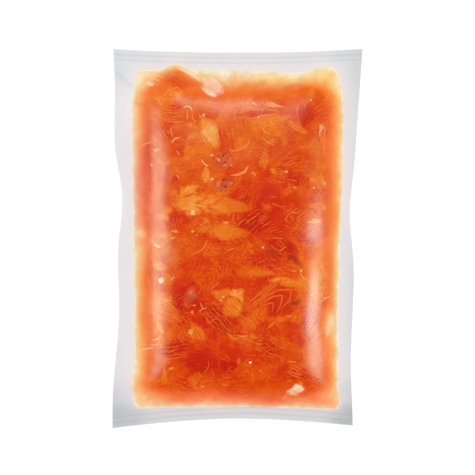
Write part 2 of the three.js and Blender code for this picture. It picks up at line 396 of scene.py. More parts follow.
class Field:
    """The film over the large flakes, and the height of the fish under it, which every flake laid on it
    raises. Both are kept on a regular grid."""

    def __init__(self, flakes):
        half_x, half_y = SLAB_WIDTH / 2 + FIELD_MARGIN[0], SLAB_LENGTH / 2 + FIELD_MARGIN[1]
        self.columns = np.arange(-half_x, half_x, FIELD_STEP)
        self.rows = np.arange(-half_y, half_y, FIELD_STEP)
        self.x, self.y = np.meshgrid(self.columns, self.rows)
        reaches = [np.minimum(flake.reach(self.x, self.y), 2) for flake in flakes]
        raised = [flake.lift - PIECE_EDGE * reach**4 for flake, reach in zip(flakes, reaches)]
        self.relief = smoothed(np.maximum(np.max(raised, 0), -PIECE_DIP), FILM_PASSES)
        self.z = self.fish_height(self.x, self.y, PIECE_DIP)

    def film_height(self, x, y):
        return top_height(x, y, self.read(self.relief, x, y))

    def fish_height(self, x, y, sunk):
        """Height of fish that lies this far below the film, and less beside the seam."""
        return top_height(x, y, self.read(self.relief, x, y) - sunk) - FILM_GAP

    def strand_height(self, x, y, radius):
        """Height of the middle of a strand that lies on the fish, more than half sunk in it."""
        return self.read(self.z, x, y) + 0.3 * radius

    def read(self, z, x, y):
        """Values of the grid z at any points, by bilinear interpolation."""
        column = np.clip((x - self.columns[0]) / FIELD_STEP, 0, len(self.columns) - 1.001)
        row = np.clip((y - self.rows[0]) / FIELD_STEP, 0, len(self.rows) - 1.001)
        c = np.floor(column).astype(int)
        r = np.floor(row).astype(int)
        near = lerp(z[r, c], z[r, c + 1], column - c)
        far = lerp(z[r + 1, c], z[r + 1, c + 1], column - c)
        return lerp(near, far, row - r)

    def raise_by(self, flake, height):
        """Raises the grid where a flake of that height lies."""
        reach = flake.reach(self.x, self.y)
        laid = np.maximum(self.z, height(self.x, self.y, np.minimum(reach, 1)))
        self.z = np.where(reach < 1, laid, self.z)


# ---- Colour and painted light over the slab ----

MEAN_TINT = 0.48  # of the fish, from deep red (0) to pale orange (1)
MEAN_CREAM = 0.75  # of the painted rim glow, from rose (0) to cream (1)
RIM_FADE = 6.6  # millimetres in from the slab's edge over which the painted glow of light through thin fish fades

# Where the fish is redder or yellower: the middle of each area, its half sizes, and by how much. Most are
# the fish's own colour, and some are painted light, as marked.
TINT_AND_LIGHT_AREAS = [
    (0, 75, 90, 55, 0.1),
    # Painted light: yellower towards the head, which looks more brightly lit.
    (0, 136, 110, 28, 0.5),
    # Partly painted highlight: yellower under the film's highlight bands on the left and right, so that they
    # look cream.
    (-66, -30, 13, 110, 0.3),
    (66, -40, 14, 90, 0.32),
    (22, 22, 32, 26, -0.24),
    (-37, -47, 15, 14, -0.3),
    (-16, -64, 22, 10, -0.16),
    (-29, -95, 30, 15, -0.14),
    (-71, 48, 8, 34, -0.05),
    (-75, -32, 6, 30, 0.4),
    (64, 58, 16, 30, 0.12),
    (75, -60, 7, 55, 0.25),
    (-57, 108, 20, 13, 0.22),
    (-28, 72, 26, 22, 0.12),
    (26, 88, 26, 9, 0.2),
    (14, -24, 24, 6, 0.22),
    (30, 105, 30, 6, -0.12),
    (52, 98, 12, 12, -0.22),
    (-10, 18, 26, 16, 0.16),
    (56, -30, 10, 26, -0.1),
    (4, -110, 50, 10, 0.05),
    (20, -20, 16, 8, -0.3),
    (2, 29, 8, 6, -0.25),
    (60, -24, 10, 14, 0.2),
    (32, 86, 12, 10, -0.15),
    (-25, 41, 8, 8, 0.2),
    (1, 29, 8, 7, -0.45),
    (1, 4, 8, 7, -0.2),
    # Partly painted shade and highlight: these three even out the film's highlight bands where they show too
    # strongly or too weakly.
    (-63, 10, 8, 12, -0.12),
    (59, 3, 11, 6, -0.3),
    (62, -16, 9, 12, 0.25),
    (-44, -22, 14, 6, -0.16),
    (2, -22, 18, 6, -0.15),
    (14, -22, 7, 6, -0.12),
    (39, -74, 8, 6, 0.15),
    (52, 80, 7, 7, 0.15),
    (-25, -124, 9, 6, -0.32),
    (52, -124, 10, 6, -0.15),
    (-50, 105, 9, 6, -0.12),
    (-12, 67, 8, 7, -0.12),
    (64, 3, 7, 7, -0.12),
    (64, 92, 8, 6, 0.1),
    (-40, 126, 10, 8, -0.22),
    (-62, -35, 8, 6, 0.15),
    (52, -35, 7, 6, 0.3),
    (14, -36, 7, 6, -0.15),
    (-37, -48, 8, 6, -0.15),
    (52, -60, 7, 7, -0.2),
    (-69, -80, 13, 12, 0.25),
    (14, -86, 7, 6, -0.12),
    (20, -124, 20, 6, 0.12),
    (64, -124, 7, 6, 0.15),
]

# Where the painted glow is stronger, in the same way.
GLOW_AREAS = [
    (20, 129, 44, 9, 0.5),
    (72, 126, 13, 11, 0.42),
    (-76, 128, 9, 9, 0.68),
    (-33, 132, 8, 5, 0.5),
    (-14, 127, 12, 8, 0.3),
    (0, 118, 90, 18, 0.12),
    (76, -126, 11, 10, 0.4),
    (-76, -127, 9, 7, 0.4),
    (-58, -128, 18, 9, 0.15),
    (58, 116, 11, 7, -0.2),
    (73, -66, 5, 11, 0.45),
    (-77, -97, 4, 11, 0.25),
    (-77, -10, 6, 14, 0.3),
    (-77, 81, 6, 8, 0.15),
    (78, 38, 6, 24, 0.12),
    (-76, 4, 4, 4, 0.4),
    (-54, 132, 8, 4, 0.3),
    (61, -18, 8, 14, 0.12),
    (66, -124, 8, 6, 0.12),
    (-10, -124, 85, 6, 0.05),
    (-73, -82, 8, 12, 0.06),
]

# Where the painted glow reaches further in from the slab's edge, by how many millimetres.
FADE_AREAS = [
    (-84, 98, 20, 34, 2.4),
    (-84, 45, 20, 22, -0.6),
    (-82, -72, 20, 26, 1.8),
    (84, 118, 18, 18, 2.5),
    (84, 20, 20, 75, -1.2),
    (82, -95, 20, 50, -1.2),
    (15, -134, 60, 14, -2.4),
    (-62, -134, 20, 14, -0.6),
    (20, 134, 60, 14, 1.5),
    (-42, 131, 11, 13, -3.2),
    (-84, 116, 16, 8, -2.2),
    (-84, -32, 14, 18, -1.8),
]

# Where the painted glow is yellow rather than rose.
CREAM_AREAS = [
    # Rose on the left side: painted sheen of the film's highlight over the rim there.
    (-84, 40, 26, 42, -0.75),
    (0, -136, 130, 14, -0.5),
    (76, 124, 20, 20, 0.25),
    (-15, 130, 35, 12, -0.2),
    (30, 129, 14, 5, 0.5),
    (-35, 132, 12, 6, 0.7),
]


def sum_of_areas(areas, x, y):
    """Adds soft oval areas up at each point."""
    return sum(
        amount * np.exp(-(((x - middle_x) / half_x) ** 2) - ((y - middle_y) / half_y) ** 2)
        for middle_x, middle_y, half_x, half_y, amount in areas
    )


def painted_glow(x, y):
    """How strong the painted glow of light through thin fish is: the fish fades into it over the last
    millimetres before the slab's edge.
    """
    fade = RIM_FADE + 0.9 * np.sin(y / 13 + x / 9) + 0.7 * np.sin(x / 7 - y / 21)
    fade += sum_of_areas(FADE_AREAS, x, y)
    rim = np.exp(-np.clip(depth_in_slab(x, y), 0, None) / fade)
    areas = np.clip(sum_of_areas(GLOW_AREAS, x, y), 0, 1)
    return 1 - (1 - rim) * (1 - areas)


def creaminess(x, y):
    """Whether the painted rim glow is rose (0) or cream (1)."""
    return np.clip(MEAN_CREAM + sum_of_areas(CREAM_AREAS, x, y), 0, 1)


# ---- Flakes of fish ----


class Flake:
    """One piece of fish: a thin ragged oval with its own grain, fat lines and colour."""

    def __init__(self, x, y, length, width, angle, *, tint, lines, spacing, bend, seed,
                 chevron=0.0, ragged=0.16, lift=0.0, fading=1.0, roundness=2.0):
        draw = random_source(seed * 7919 + 13)
        self.x, self.y = x, y
        self.cos, self.sin = math.cos(angle), math.sin(angle)
        self.half_length, self.half_width = length / 2, width / 2
        self.tint, self.lines, self.spacing = tint, lines, spacing
        self.bend, self.chevron, self.lift, self.fading = bend, chevron, lift, fading
        self.roundness = roundness
        self.waves = [(count, ragged * share, draw() * 2 * math.pi) for count, share in RAGGED_WAVES]
        self.phase = draw() * 2 * math.pi
        self.number = draw() * 100

    def outline(self, turn):
        """How far out the ragged outline lies at a turn round the oval, as a share of the oval's own. A
        roundness below 2 makes it pointed."""
        sides = np.abs(np.cos(turn)) ** self.roundness + np.abs(np.sin(turn)) ** self.roundness
        ragged = 1 + sum(size * np.sin(count * turn + phase) for count, size, phase in self.waves)
        return ragged * sides ** (-1 / self.roundness)

    def to_local(self, x, y):
        dx, dy = x - self.x, y - self.y
        return dx * self.cos + dy * self.sin, dy * self.cos - dx * self.sin

    def reach(self, x, y):
        """0 at the middle of the flake and 1 on its outline."""
        along, across = self.to_local(x, y)
        along, across = along / self.half_length, across / self.half_width
        return np.hypot(along, across) / self.outline(np.arctan2(across, along))

    def polar_grid(self, rings, spokes):
        """Points from the middle of the flake outwards, kept inside the slab, and how far out each is."""
        turn = np.linspace(0, 2 * math.pi, spokes, endpoint=False)
        along = self.outline(turn) * np.cos(turn) * self.half_length
        across = self.outline(turn) * np.sin(turn) * self.half_width
        rim_x = self.x + along * self.cos - across * self.sin
        rim_y = self.y + along * self.sin + across * self.cos
        low, high = np.zeros(spokes), np.full(spokes, 2.0)
        for _ in range(HALVINGS):
            middle = (low + high) / 2
            inside = depth_in_slab(lerp(self.x, rim_x, middle), lerp(self.y, rim_y, middle)) > EDGE_CLEARANCE
            low, high = np.where(inside, middle, low), np.where(inside, high, middle)
        share = (np.arange(rings + 1)[:, None] / rings) ** 0.85 * np.minimum(low, 1)
        return lerp(self.x, rim_x, share), lerp(self.y, rim_y, share), share

    def pattern(self, x, y):
        """The phase of the fat lines, which are arcs or chevrons, and the grain's own coordinates."""
        along, across = self.to_local(x, y)
        if self.chevron:
            over = along + self.chevron * np.sqrt(across**2 + 4)
            side = across
        else:
            turned = np.arctan2(along, across + self.bend)
            over = np.hypot(along, across + self.bend) - self.bend
            side = turned * self.bend
        sway = 0.24 * np.sin(side / 6 + self.phase) + 0.12 * np.sin(side / 2.6 + 2 * self.phase)
        return over / self.spacing + sway, np.stack([side, over, np.full_like(x, self.number)], -1)


def shown_flake(x, y, length, width, turn, tint, lines=0.0, spacing=3.0, bend=60.0, fading=1.0):
    """A flake that stands out on the shown face. Its turn is in degrees. Its pointed ends make it look
    smaller, so it is drawn a little larger."""
    return Flake(
        x, y, 1.1 * length, 1.12 * width, math.radians(turn),
        tint=tint, lines=lines, spacing=spacing, bend=bend, fading=fading,
        roundness=1.35,
        seed=500 + round(abs(x) * 7 + abs(y) * 13),
    )


def large_flakes():
    """The solid's own pieces, in its own places, each with the looks of its fish drawn apart."""
    place = random_source(PIECE_SEED)
    looks = random_source(LOOKS_SEED)
    across, along = round(SLAB_WIDTH / PIECE_PITCH), round(SLAB_LENGTH / PIECE_PITCH)
    flakes = []
    for i in range(across * along):
        x = ((i % across + 0.5 + (place() - 0.5) * PIECE_JITTER) / across - 0.5) * SLAB_WIDTH
        y = ((i // across + 0.5 + (place() - 0.5) * PIECE_JITTER) / along - 0.5) * SLAB_LENGTH
        angle = place() * math.pi
        length = lerp(*PIECE_LENGTH, place())
        width = lerp(*PIECE_WIDTH, place())
        lift = lerp(-PIECE_LIFT, PIECE_LIFT, place())
        flakes.append(
            Flake(
                x, y, length, width, angle,
                tint=lerp(0.28, 0.62, looks()),
                lines=0.8 * smoothstep(looks(), 0.5, 1.0),
                spacing=lerp(2.8, 5.0, looks()),
                bend=lerp(14, 60, looks()),
                chevron=lerp(0.6, 1.3, looks()) if looks() < 0.3 else 0.0,
                ragged=0.07,
                lift=lift,
                seed=i + 1,
            )
        )
    return flakes


def scraps(count):
    """Small scraps strewn over the large flakes."""
    draw = random_source(LOOKS_SEED + 1)
    flakes = []
    while len(flakes) < count:
        x = (draw() - 0.5) * SLAB_WIDTH
        y = (draw() - 0.5) * SLAB_LENGTH
        if depth_in_slab(np.array(x), np.array(y)) < 4:
            continue
        length = lerp(6, 19, draw())
        flakes.append(
            Flake(
                x, y, length, length * lerp(0.3, 0.75, draw()), draw() * math.pi,
                tint=lerp(0.25, 0.8, draw()),
                lines=0.7 * draw() ** 2,
                spacing=lerp(1.6, 3.2, draw()),
                bend=lerp(6, 30, draw()),
                ragged=0.3,
                roundness=1.4,
                seed=200 + len(flakes),
            )
        )
    return flakes


class Heap:
    """Many pieces joined in one mesh, with the numbers that their material reads at each point."""

    def __init__(self):
        self.points, self.faces, self.grain = [], [], []
        self.floats = {}
        self.count = 0

    def join(self, points, faces, **floats):
        """Adds a piece, whose faces number its own points from 0."""
        x, y = points[:, 0], points[:, 1]
        # Every piece carries the painted rim glow and its hue.
        for key, values in {"glow": painted_glow(x, y), "cream": creaminess(x, y), **floats}.items():
            self.floats.setdefault(key, []).append(np.broadcast_to(values, len(points)))
        self.faces += [[self.count + corner for corner in face] for face in faces]
        self.points.append(points)
        self.count += len(points)

    def make(self, name, material):
        floats = {key: np.concatenate(values) for key, values in self.floats.items()}
        vectors = {"grain": np.concatenate(self.grain)} if self.grain else {}
        return make_piece(name, np.concatenate(self.points), self.faces, floats, vectors, material)


class Pile(Heap):
    """Many flakes joined in one mesh."""

    def add(self, flake, height, rings, spokes, sunk, face_down=False):
        """Adds a flake as a closed thin solid: its face follows the height, and a fan closes it behind."""
        x, y, share = flake.polar_grid(rings, spokes)
        z = height(x, y, share)
        top = np.stack([x[1:], y[1:], z[1:]], -1).reshape(-1, 3)
        behind = z.max() + sunk if face_down else z.min() - sunk
        points = np.concatenate([top, [[flake.x, flake.y, z[0, 0]], [flake.x, flake.y, behind]]])
        centre, under, last = len(top), len(top) + 1, (rings - 1) * spokes
        faces = []
        for j in range(spokes):
            after = (j + 1) % spokes
            faces.append([centre, j, after])
            faces.append([under, last + after, last + j])
            for ring in range(0, last, spokes):
                faces.append([ring + j, ring + spokes + j, ring + spokes + after, ring + after])
        if face_down:
            faces = [face[::-1] for face in faces]
        band, grain = flake.pattern(points[:, 0], points[:, 1])
        self.grain.append(grain)
        out = np.append(share[1:].ravel(), [0, 0])
        area = sum_of_areas(TINT_AND_LIGHT_AREAS, points[:, 0], points[:, 1])
        fading = lerp(flake.fading, 1, smoothstep(out, 0.6, 1))
        own = {"tint": flake.tint + area, "around": MEAN_TINT + area, "out": out, "band": band}
        self.join(points, faces, lines=flake.lines, fading=fading, **own)


def lay_large(pile, field, flake):
    """Lays one of the solid's own pieces, whose top curves down to its rim."""

    def height(x, y, share):
        return field.fish_height(x, y, LARGE_DEPTH - LARGE_LIFT * flake.lift + LARGE_ROUND * share**4)

    if depth_in_slab(np.array(flake.x), np.array(flake.y)) > 2 * EDGE_CLEARANCE:
        pile.add(flake, height, rings=9, spokes=30, sunk=1.0)
        field.raise_by(flake, height)


def lay_thin(pile, field, flake, thickness, passes=6, rings=6, spokes=24):
    """Lays a thin flake over whatever lies there already. It never takes up more than half of the room that
    is left under the film."""
    under = smoothed(field.z, passes)

    def height(x, y, share):
        low = field.read(under, x, y)
        room = np.clip(field.fish_height(x, y, 0) - low, 0.01, None)
        return low + np.minimum(thickness, room / 2) * (1 - 1.3 * share**4)

    pile.add(flake, height, rings, spokes, sunk=0.3)
    field.raise_by(flake, height)


def lay_underneath(pile, flake):
    """Lays a thin flake on the slab's underside, at a depth of its own."""
    room = UNDER_ROOM * (0.5 - 0.5 * flake.lift / PIECE_LIFT)

    def height(x, y, share):
        return base_height(x, y) + FILM_GAP + 0.1 + 0.5 * room + 0.4 * share**4

    pile.add(flake, height, rings=5, spokes=24, sunk=0.2, face_down=True)


# ---- Threads ----


class Underside:
    """The ground of the strands on the slab's flat underside."""

    @staticmethod
    def strand_height(x, y, radius):
        return base_height(x, y) + FILM_GAP + 0.05 + radius


class Threads(Heap):
    """Fine strands of fat and membrane on the fish, joined in one mesh of tapered tubes."""

    SIDES = 5

    def add(self, ground, x, y, radius, tint):
        """Adds a strand through the given places."""
        line = np.stack([x, y, ground.strand_height(x, y, radius)], -1)
        ahead = np.gradient(line, axis=0)
        ahead /= np.linalg.norm(ahead, axis=1)[:, None]
        sideways = np.cross(ahead, [0, 0, 1])
        sideways /= np.linalg.norm(sideways, axis=1)[:, None]
        upwards = np.cross(sideways, ahead)
        share = np.linspace(0, 1, len(x))
        thick = radius * (0.25 + 0.75 * np.sqrt(np.sin(np.pi * np.clip(share, 0.02, 0.98))))
        turn = (np.arange(self.SIDES) * 2 * math.pi / self.SIDES)[None, :, None]
        ring = np.cos(turn) * sideways[:, None] + np.sin(turn) * upwards[:, None]
        points = (line[:, None] + thick[:, None, None] * ring).reshape(-1, 3)
        last = len(points) - self.SIDES
        faces = []
        for near in range(0, last, self.SIDES):
            for j in range(self.SIDES):
                a, b = near + j, near + (j + 1) % self.SIDES
                faces.append([a, b, b + self.SIDES, a + self.SIDES])
        faces.append(list(range(self.SIDES))[::-1])
        faces.append(list(range(last, len(points))))
        area = sum_of_areas(TINT_AND_LIGHT_AREAS, points[:, 0], points[:, 1])
        self.join(points, faces, tint=tint + 0.5 * area, fading=1 - 0.8 * min(max(tint, 0), 1))


def fan_of_threads(threads, ground, x, y, heading, length, count, spacing, bend, radius, tint):
    """Strands side by side that run alike. The heading and the bend, by which they turn, are in degrees."""
    draw = random_source(round(abs(x) * 31 + abs(y) * 17) + LOOKS_SEED)
    heading, bend = math.radians(heading), math.radians(bend)
    for i in range(count):
        size = length * lerp(0.5, 1.1, draw())
        steps = max(6, round(size / 0.9))
        along = np.linspace(-0.5, 0.5, steps)
        turn = heading + 0.3 * (draw() - 0.5) + bend * along + 0.2 * np.sin(along * 9 + 6 * draw())
        aside = (i - (count - 1) / 2 + 0.5 * (draw() - 0.5)) * spacing
        ahead = length * 0.3 * (draw() - 0.5)
        run_x, run_y = np.cumsum(np.cos(turn)) * size / steps, np.cumsum(np.sin(turn)) * size / steps
        line_x = x + ahead * math.cos(heading) - aside * math.sin(heading) + run_x - run_x.mean()
        line_y = y + ahead * math.sin(heading) + aside * math.cos(heading) + run_y - run_y.mean()
        if depth_in_slab(line_x, line_y).min() > 1.5:
            thick = radius * lerp(0.7, 1.1, draw())
            threads.add(ground, line_x, line_y, thick, tint + 0.2 * (draw() - 0.5))


def is_plain(x, y):
    """Whether a place is one that stays without strewn strands."""
    return any(
        np.hypot((x - middle_x) / half_x, (y - middle_y) / half_y) < 1
        for middle_x, middle_y, half_x, half_y in PLAIN_PLACES
    )


def strew_threads(threads, ground, groups, seed):
    """Faint groups of strands all over the fish."""
    draw = random_source(seed)
    for _ in range(groups):
        x, y = (draw() - 0.5) * SLAB_WIDTH, (draw() - 0.5) * SLAB_LENGTH
        if is_plain(x, y):
            continue
        heading, bend = 360 * draw(), 110 * (draw() - 0.5)
        length, count = lerp(4, 12, draw()), 1 + int(6 * draw() ** 1.5)
        spacing, radius, tint = lerp(1.3, 2.4, draw()), lerp(0.2, 0.42, draw()), 0.4 * draw() ** 2
        fan_of_threads(threads, ground, x, y, heading, length, count, spacing, bend, radius, tint)


def strand_through(threads, ground, places, radius, tint):
    """One strand through the given places, with its corners a little rounded."""
    places = np.array(places, float)
    along = np.insert(np.cumsum(np.linalg.norm(np.diff(places, axis=0), axis=1)), 0, 0)
    fine = np.linspace(0, along[-1], max(6, round(along[-1] / 0.5)))
    line = np.stack([np.interp(fine, along, places[:, i]) for i in (0, 1)])
    for _ in range(6):
        line[:, 1:-1] = (line[:, :-2] + 2 * line[:, 1:-1] + line[:, 2:]) / 4
    threads.add(ground, *line, radius, tint)


# ---- The pieces that stand out on the shown face ----

# Flesh: X, Y, length, width, turn in degrees, tint, strength and spacing of its lines, their bend and how
# much of the painted rim glow it takes.
SHOWN_FLAKES = [
    (-63, 112, 30, 20, 20, 0.5, 0.4),
    (-50, 114, 22, 12, 30, 0.6, 0.5, 3.0, 30),
    (-46, 125, 42, 17, -12, 0.16, 0.4, 3.4, 60, 0.6),
    (8, 117, 34, 14, 25, 0.5, 0.8, 2.6, 60, 0.6),
    (46, 118, 26, 11, 0, 0.4, 0, 3, 60, 0.6),
    (66, 118, 16, 12, 70, 0.42, 0.3),
    (14, 98, 30, 6, 4, 0.22),
    (54, 97, 21, 17, 70, 0.08, 0.2),
    (22, 84, 36, 16, 10, 0.55, 0.2),
    (26, 94, 36, 9, 6, 0.62, 0.6, 2.6, 60),
    (46, 88, 24, 6, -30, 0.62),
    (-50, 103, 14, 5, 15, 0.06),
    (-58, 97, 34, 17, 172, 0.36, 0.9, 2.6, 26),
    (-65, 80, 30, 15, -36, 0.4, 0.9, 2.3, 80),
    (-71, 50, 60, 11, 89, 0.16, 0.2),
    (74, 67, 32, 15, -62, 0.6, 0.9, 2.6, 26),
    (4, 74, 16, 12, 30, 0.6, 0.3),
    (48, 46, 16, 11, 0, 0.14),
    (66, 44, 18, 10, -20, 0.62, 0.3),
    (66, 24, 18, 10, -20, 0.62, 0.3),
    (72, 6, 14, 12, 0, 0.25),
    (-46, 15, 24, 13, -10, 0.16),
    (12, 12, 34, 24, 35, 0.08, 0.5, 3.4, 90),
    (34, -6, 30, 18, -20, 0.1, 0.2),
    (-74, -6, 22, 13, 80, 0.8, 0.2),
    (-50, -12, 18, 10, 40, 0.5, 0.9, 3.0, 90),
    (-73, -25, 14, 10, 70, 0.3),
    (16, -25, 28, 9, -12, 0.75, 0.3, 2.4),
    (38, -34, 28, 8, -6, 0.8, 0.4, 2.6, 40),
    (-60, -54, 37, 25, -29, 0.74, 1.0, 2.3, 110),
    (-41, -46, 26, 22, 60, 0.0, 0.2),
    (-14, -64, 36, 20, -48, 0.04, 0.55, 2.3, 120),
    (34, -50, 32, 24, 38, 0.22, 0.1),
    (20, -45, 40, 10, 41, 0.42, 1.0, 2.1, 300),
    (9, -66, 16, 13, -35, 0.62, 1.0, 2.1, 24),
    (3, -79, 26, 7, -10, 0.55, 1.0, 2.0, 60),
    (58, -66, 24, 16, 60, 0.14, 0.6, 2.4, 24),
    (70, -53, 11, 12, 40, 0.16),
    (73, -86, 34, 9, 88, 0.7, 0.2),
    (-50, -87, 30, 14, 10, 0.06, 0.5, 3.0, 60),
    (-28, -97, 38, 21, -8, 0.04, 0.15),
    (-7, -100, 17, 15, 0, -0.04),
    (24, -84, 22, 14, -20, 0.12),
    (35, -105, 26, 14, 10, 0.34),
    (45, -92, 14, 12, -40, 0.55),
    (48, -107, 26, 12, -14, 0.16, 0.8, 2.8, 40),
    (62, -116, 22, 12, -24, 0.3, 0.6, 2.2, 50),
    (-50, -124, 24, 9, -28, 0.5, 0.9, 2.3, 70),
    (54, -125, 18, 7, -14, 0.2, 0.2),
]

# Fat, from yellow orange (0) to white (1), in the same way.
SHOWN_FAT = [
    (-37.5, 131, 30, 3.4, -31, 1.0, 0, 3, 60, 0.3),
    (-20, 121, 24, 17, -35, 0.8, 0.5, 2.4, 20, 0.4),
    (-22, 115.5, 16, 7, -25, 0.95, 0, 3, 60, 0.4),
    (-68, 130, 16, 3.4, -18, 0.8, 0, 3, 60, 0.4),
    (-69, 122, 8, 5, -10, 0.9, 0, 3, 60, 0.4),
    (30, 129, 24, 5, 0, 0.3, 0, 3, 60, 0.8),
    (15, 128.5, 7, 3, -20, 1.0, 0, 3, 60, 0.2),
    (56, 129, 5, 4, 60, 0.9),
    (-22, 84, 31, 15, -60, 0.2, 0.4, 4.0, 60),
    (-26.5, 97, 3.4, 2.4, 20, 0.6),
    (-64, 69.5, 5, 2.6, 10, 0.45),
    (-79, 78.5, 7, 3, -5, 0.7),
    (-25, 50, 16, 7, 86, 0.15),
    (-20, 65.5, 3.4, 2.2, 30, 0.5),
    (-20, 46.5, 3.4, 2.2, 30, 0.5),
    (-39, 35, 22, 13, 40, 0.2, 0.2),
    (-36, 27, 34, 18, -6, 0.2, 0.5, 4.2, 90),
    (-20, 27, 26, 16, 0, 0.02, 0.3),
    (-6, 25, 34, 15, -2, 0.08, 0.2),
    (-22, 7, 26, 8, 0, 0.0),
    (-8, 5, 34, 16, -2, 0.08, 0.2),
    (-9, 12.5, 6, 2, -8, 0.35),
    (-35, 20.5, 5.4, 5.4, 30, 0.5),
    (-35, 5.5, 4.4, 3, -10, 0.35),
    (-49, 5.5, 7, 2, -8, 0.35),
    (-51, 0.5, 6, 2, 10, 0.3),
    (28, 105, 15, 4, -12, 0.25, 0.5, 2.0),
    (13, 106, 6, 2, -20, 0.3),
    (66, 87, 6.5, 3, 80, 0.45),
    (28, 53, 7, 5, -40, 0.2),
    (38.5, 52.5, 3.4, 1.8, 5, 0.7),
    (13, 51, 6, 2.4, -40, 0.2),
    (68.5, 43, 3.4, 3, 0, 0.3),
    (68.5, 24, 3.4, 3, 0, 0.3),
    (60, 40, 2.6, 2, -40, 0.4),
    (45, 40, 5, 1.6, -14, 0.3),
    (44, 20.5, 5, 1.8, -14, 0.35),
    (61, 13.5, 14, 4, 9, 0.25),
    (-79, 5, 3, 2.6, 0, 0.8),
    (-77, 1.5, 2.4, 2.2, 0, 1.0),
    (-78, -8, 2.6, 2.2, 0, 0.95),
    (-63, -6, 7, 2.6, -16, 0.4),
    (-61, -22, 14, 9, -12, 0.12),
    (-60, -33, 6.5, 5, 70, 0.5),
    (-9, -46, 24, 15, -20, 0.08, 0.3, 4.0),
    (-1, -46, 18, 14, 40, 0.3, 0.2, 4.0),
    (-4, -54, 22, 17, -50, 0.14, 0.3, 3.0),
    (-11, -46, 2.4, 2, 0, 0.7),
    (-13, -48.5, 2.4, 1.8, 30, 0.6),
    (-32, -74, 19, 13, -60, 0.14, 0.2),
    (-36.5, -73.5, 7, 5, -48, 0.55),
    (-52, -102, 5.4, 2.6, 20, 0.25),
    (73, -68, 22, 8, 76, 0.6, 0.3, 3, 60, 0.6),
    (43, -97, 8, 2.4, -8, 0.15),
    (47, -118.5, 15, 8, 6, 0.86, 0, 3, 60, 0.5),
    (43, -121.5, 11, 6, -20, 0.75, 0, 3, 60, 0.5),
    (38, -126, 12, 6, 62, 0.4),
    (-28, -117, 6.5, 2, 18, 0.5),
    (-10, -115.5, 6, 1.8, 0, 0.3),
    (-2, -127, 5, 3.6, 80, 0.7),
    # Small white specks: partly white fat, partly painted glints of the wet fish.
    (16.5, 95.5, 1.9, 1.8, 0, 1.0),
    (58, 109, 2.2, 1.5, 10, 0.9),
    (10, -97.5, 3, 2.4, 0, 0.85),
    (20, -7, 2.6, 2.2, 0, 0.6),
    (50, -25, 2.8, 2, 30, 0.7),
    (45, -25.5, 3, 1.5, 10, 0.5),
    (-34, -52.5, 4.2, 1.8, 10, 0.6),
    (-35.5, -58, 3, 4, 10, 0.4),
    (18, -104, 3.4, 2, 10, 0.35),
    (41.5, -61, 3, 1.5, 20, 0.45),
]

# Dark meat, from dark red (0) to a dull rose (1).
SHOWN_DARK = [
    (-12, 61, 19, 15, 30, 0.5),
    (-12, 42, 19, 15, 30, 0.5),
    (-10.5, 65.5, 7, 4, 40, 0.15),
    (-9.5, 60, 4, 3, 0, 0.0),
    (-10.5, 46, 7, 4, 40, 0.2),
    (-9.5, 40.5, 4, 3, 0, 0.0),
    (-15, 62, 6, 3.4, -40, 0.95),
    (-10, 57.5, 4, 2.4, 20, 0.9),
    (-5, 57.5, 4, 2.6, -50, 0.95),
    (-15, 43, 6, 4, 60, 0.95),
    (-5, 43.5, 4, 3, 40, 0.9),
    (44, -16, 19, 7, -36, 0.3),
    (45, -50.5, 12, 7, 8, 0.3),
    (-37, -46, 20, 12, 80, 1.05),
    (27, -10, 18, 6, -14, 0.6),
    (-15, 17.5, 2.2, 2, 0, 0.0),
    (-15, -2, 2.2, 2, 0, 0.0),
    (41, -66.5, 1.8, 1.6, 0, 0.2),
]

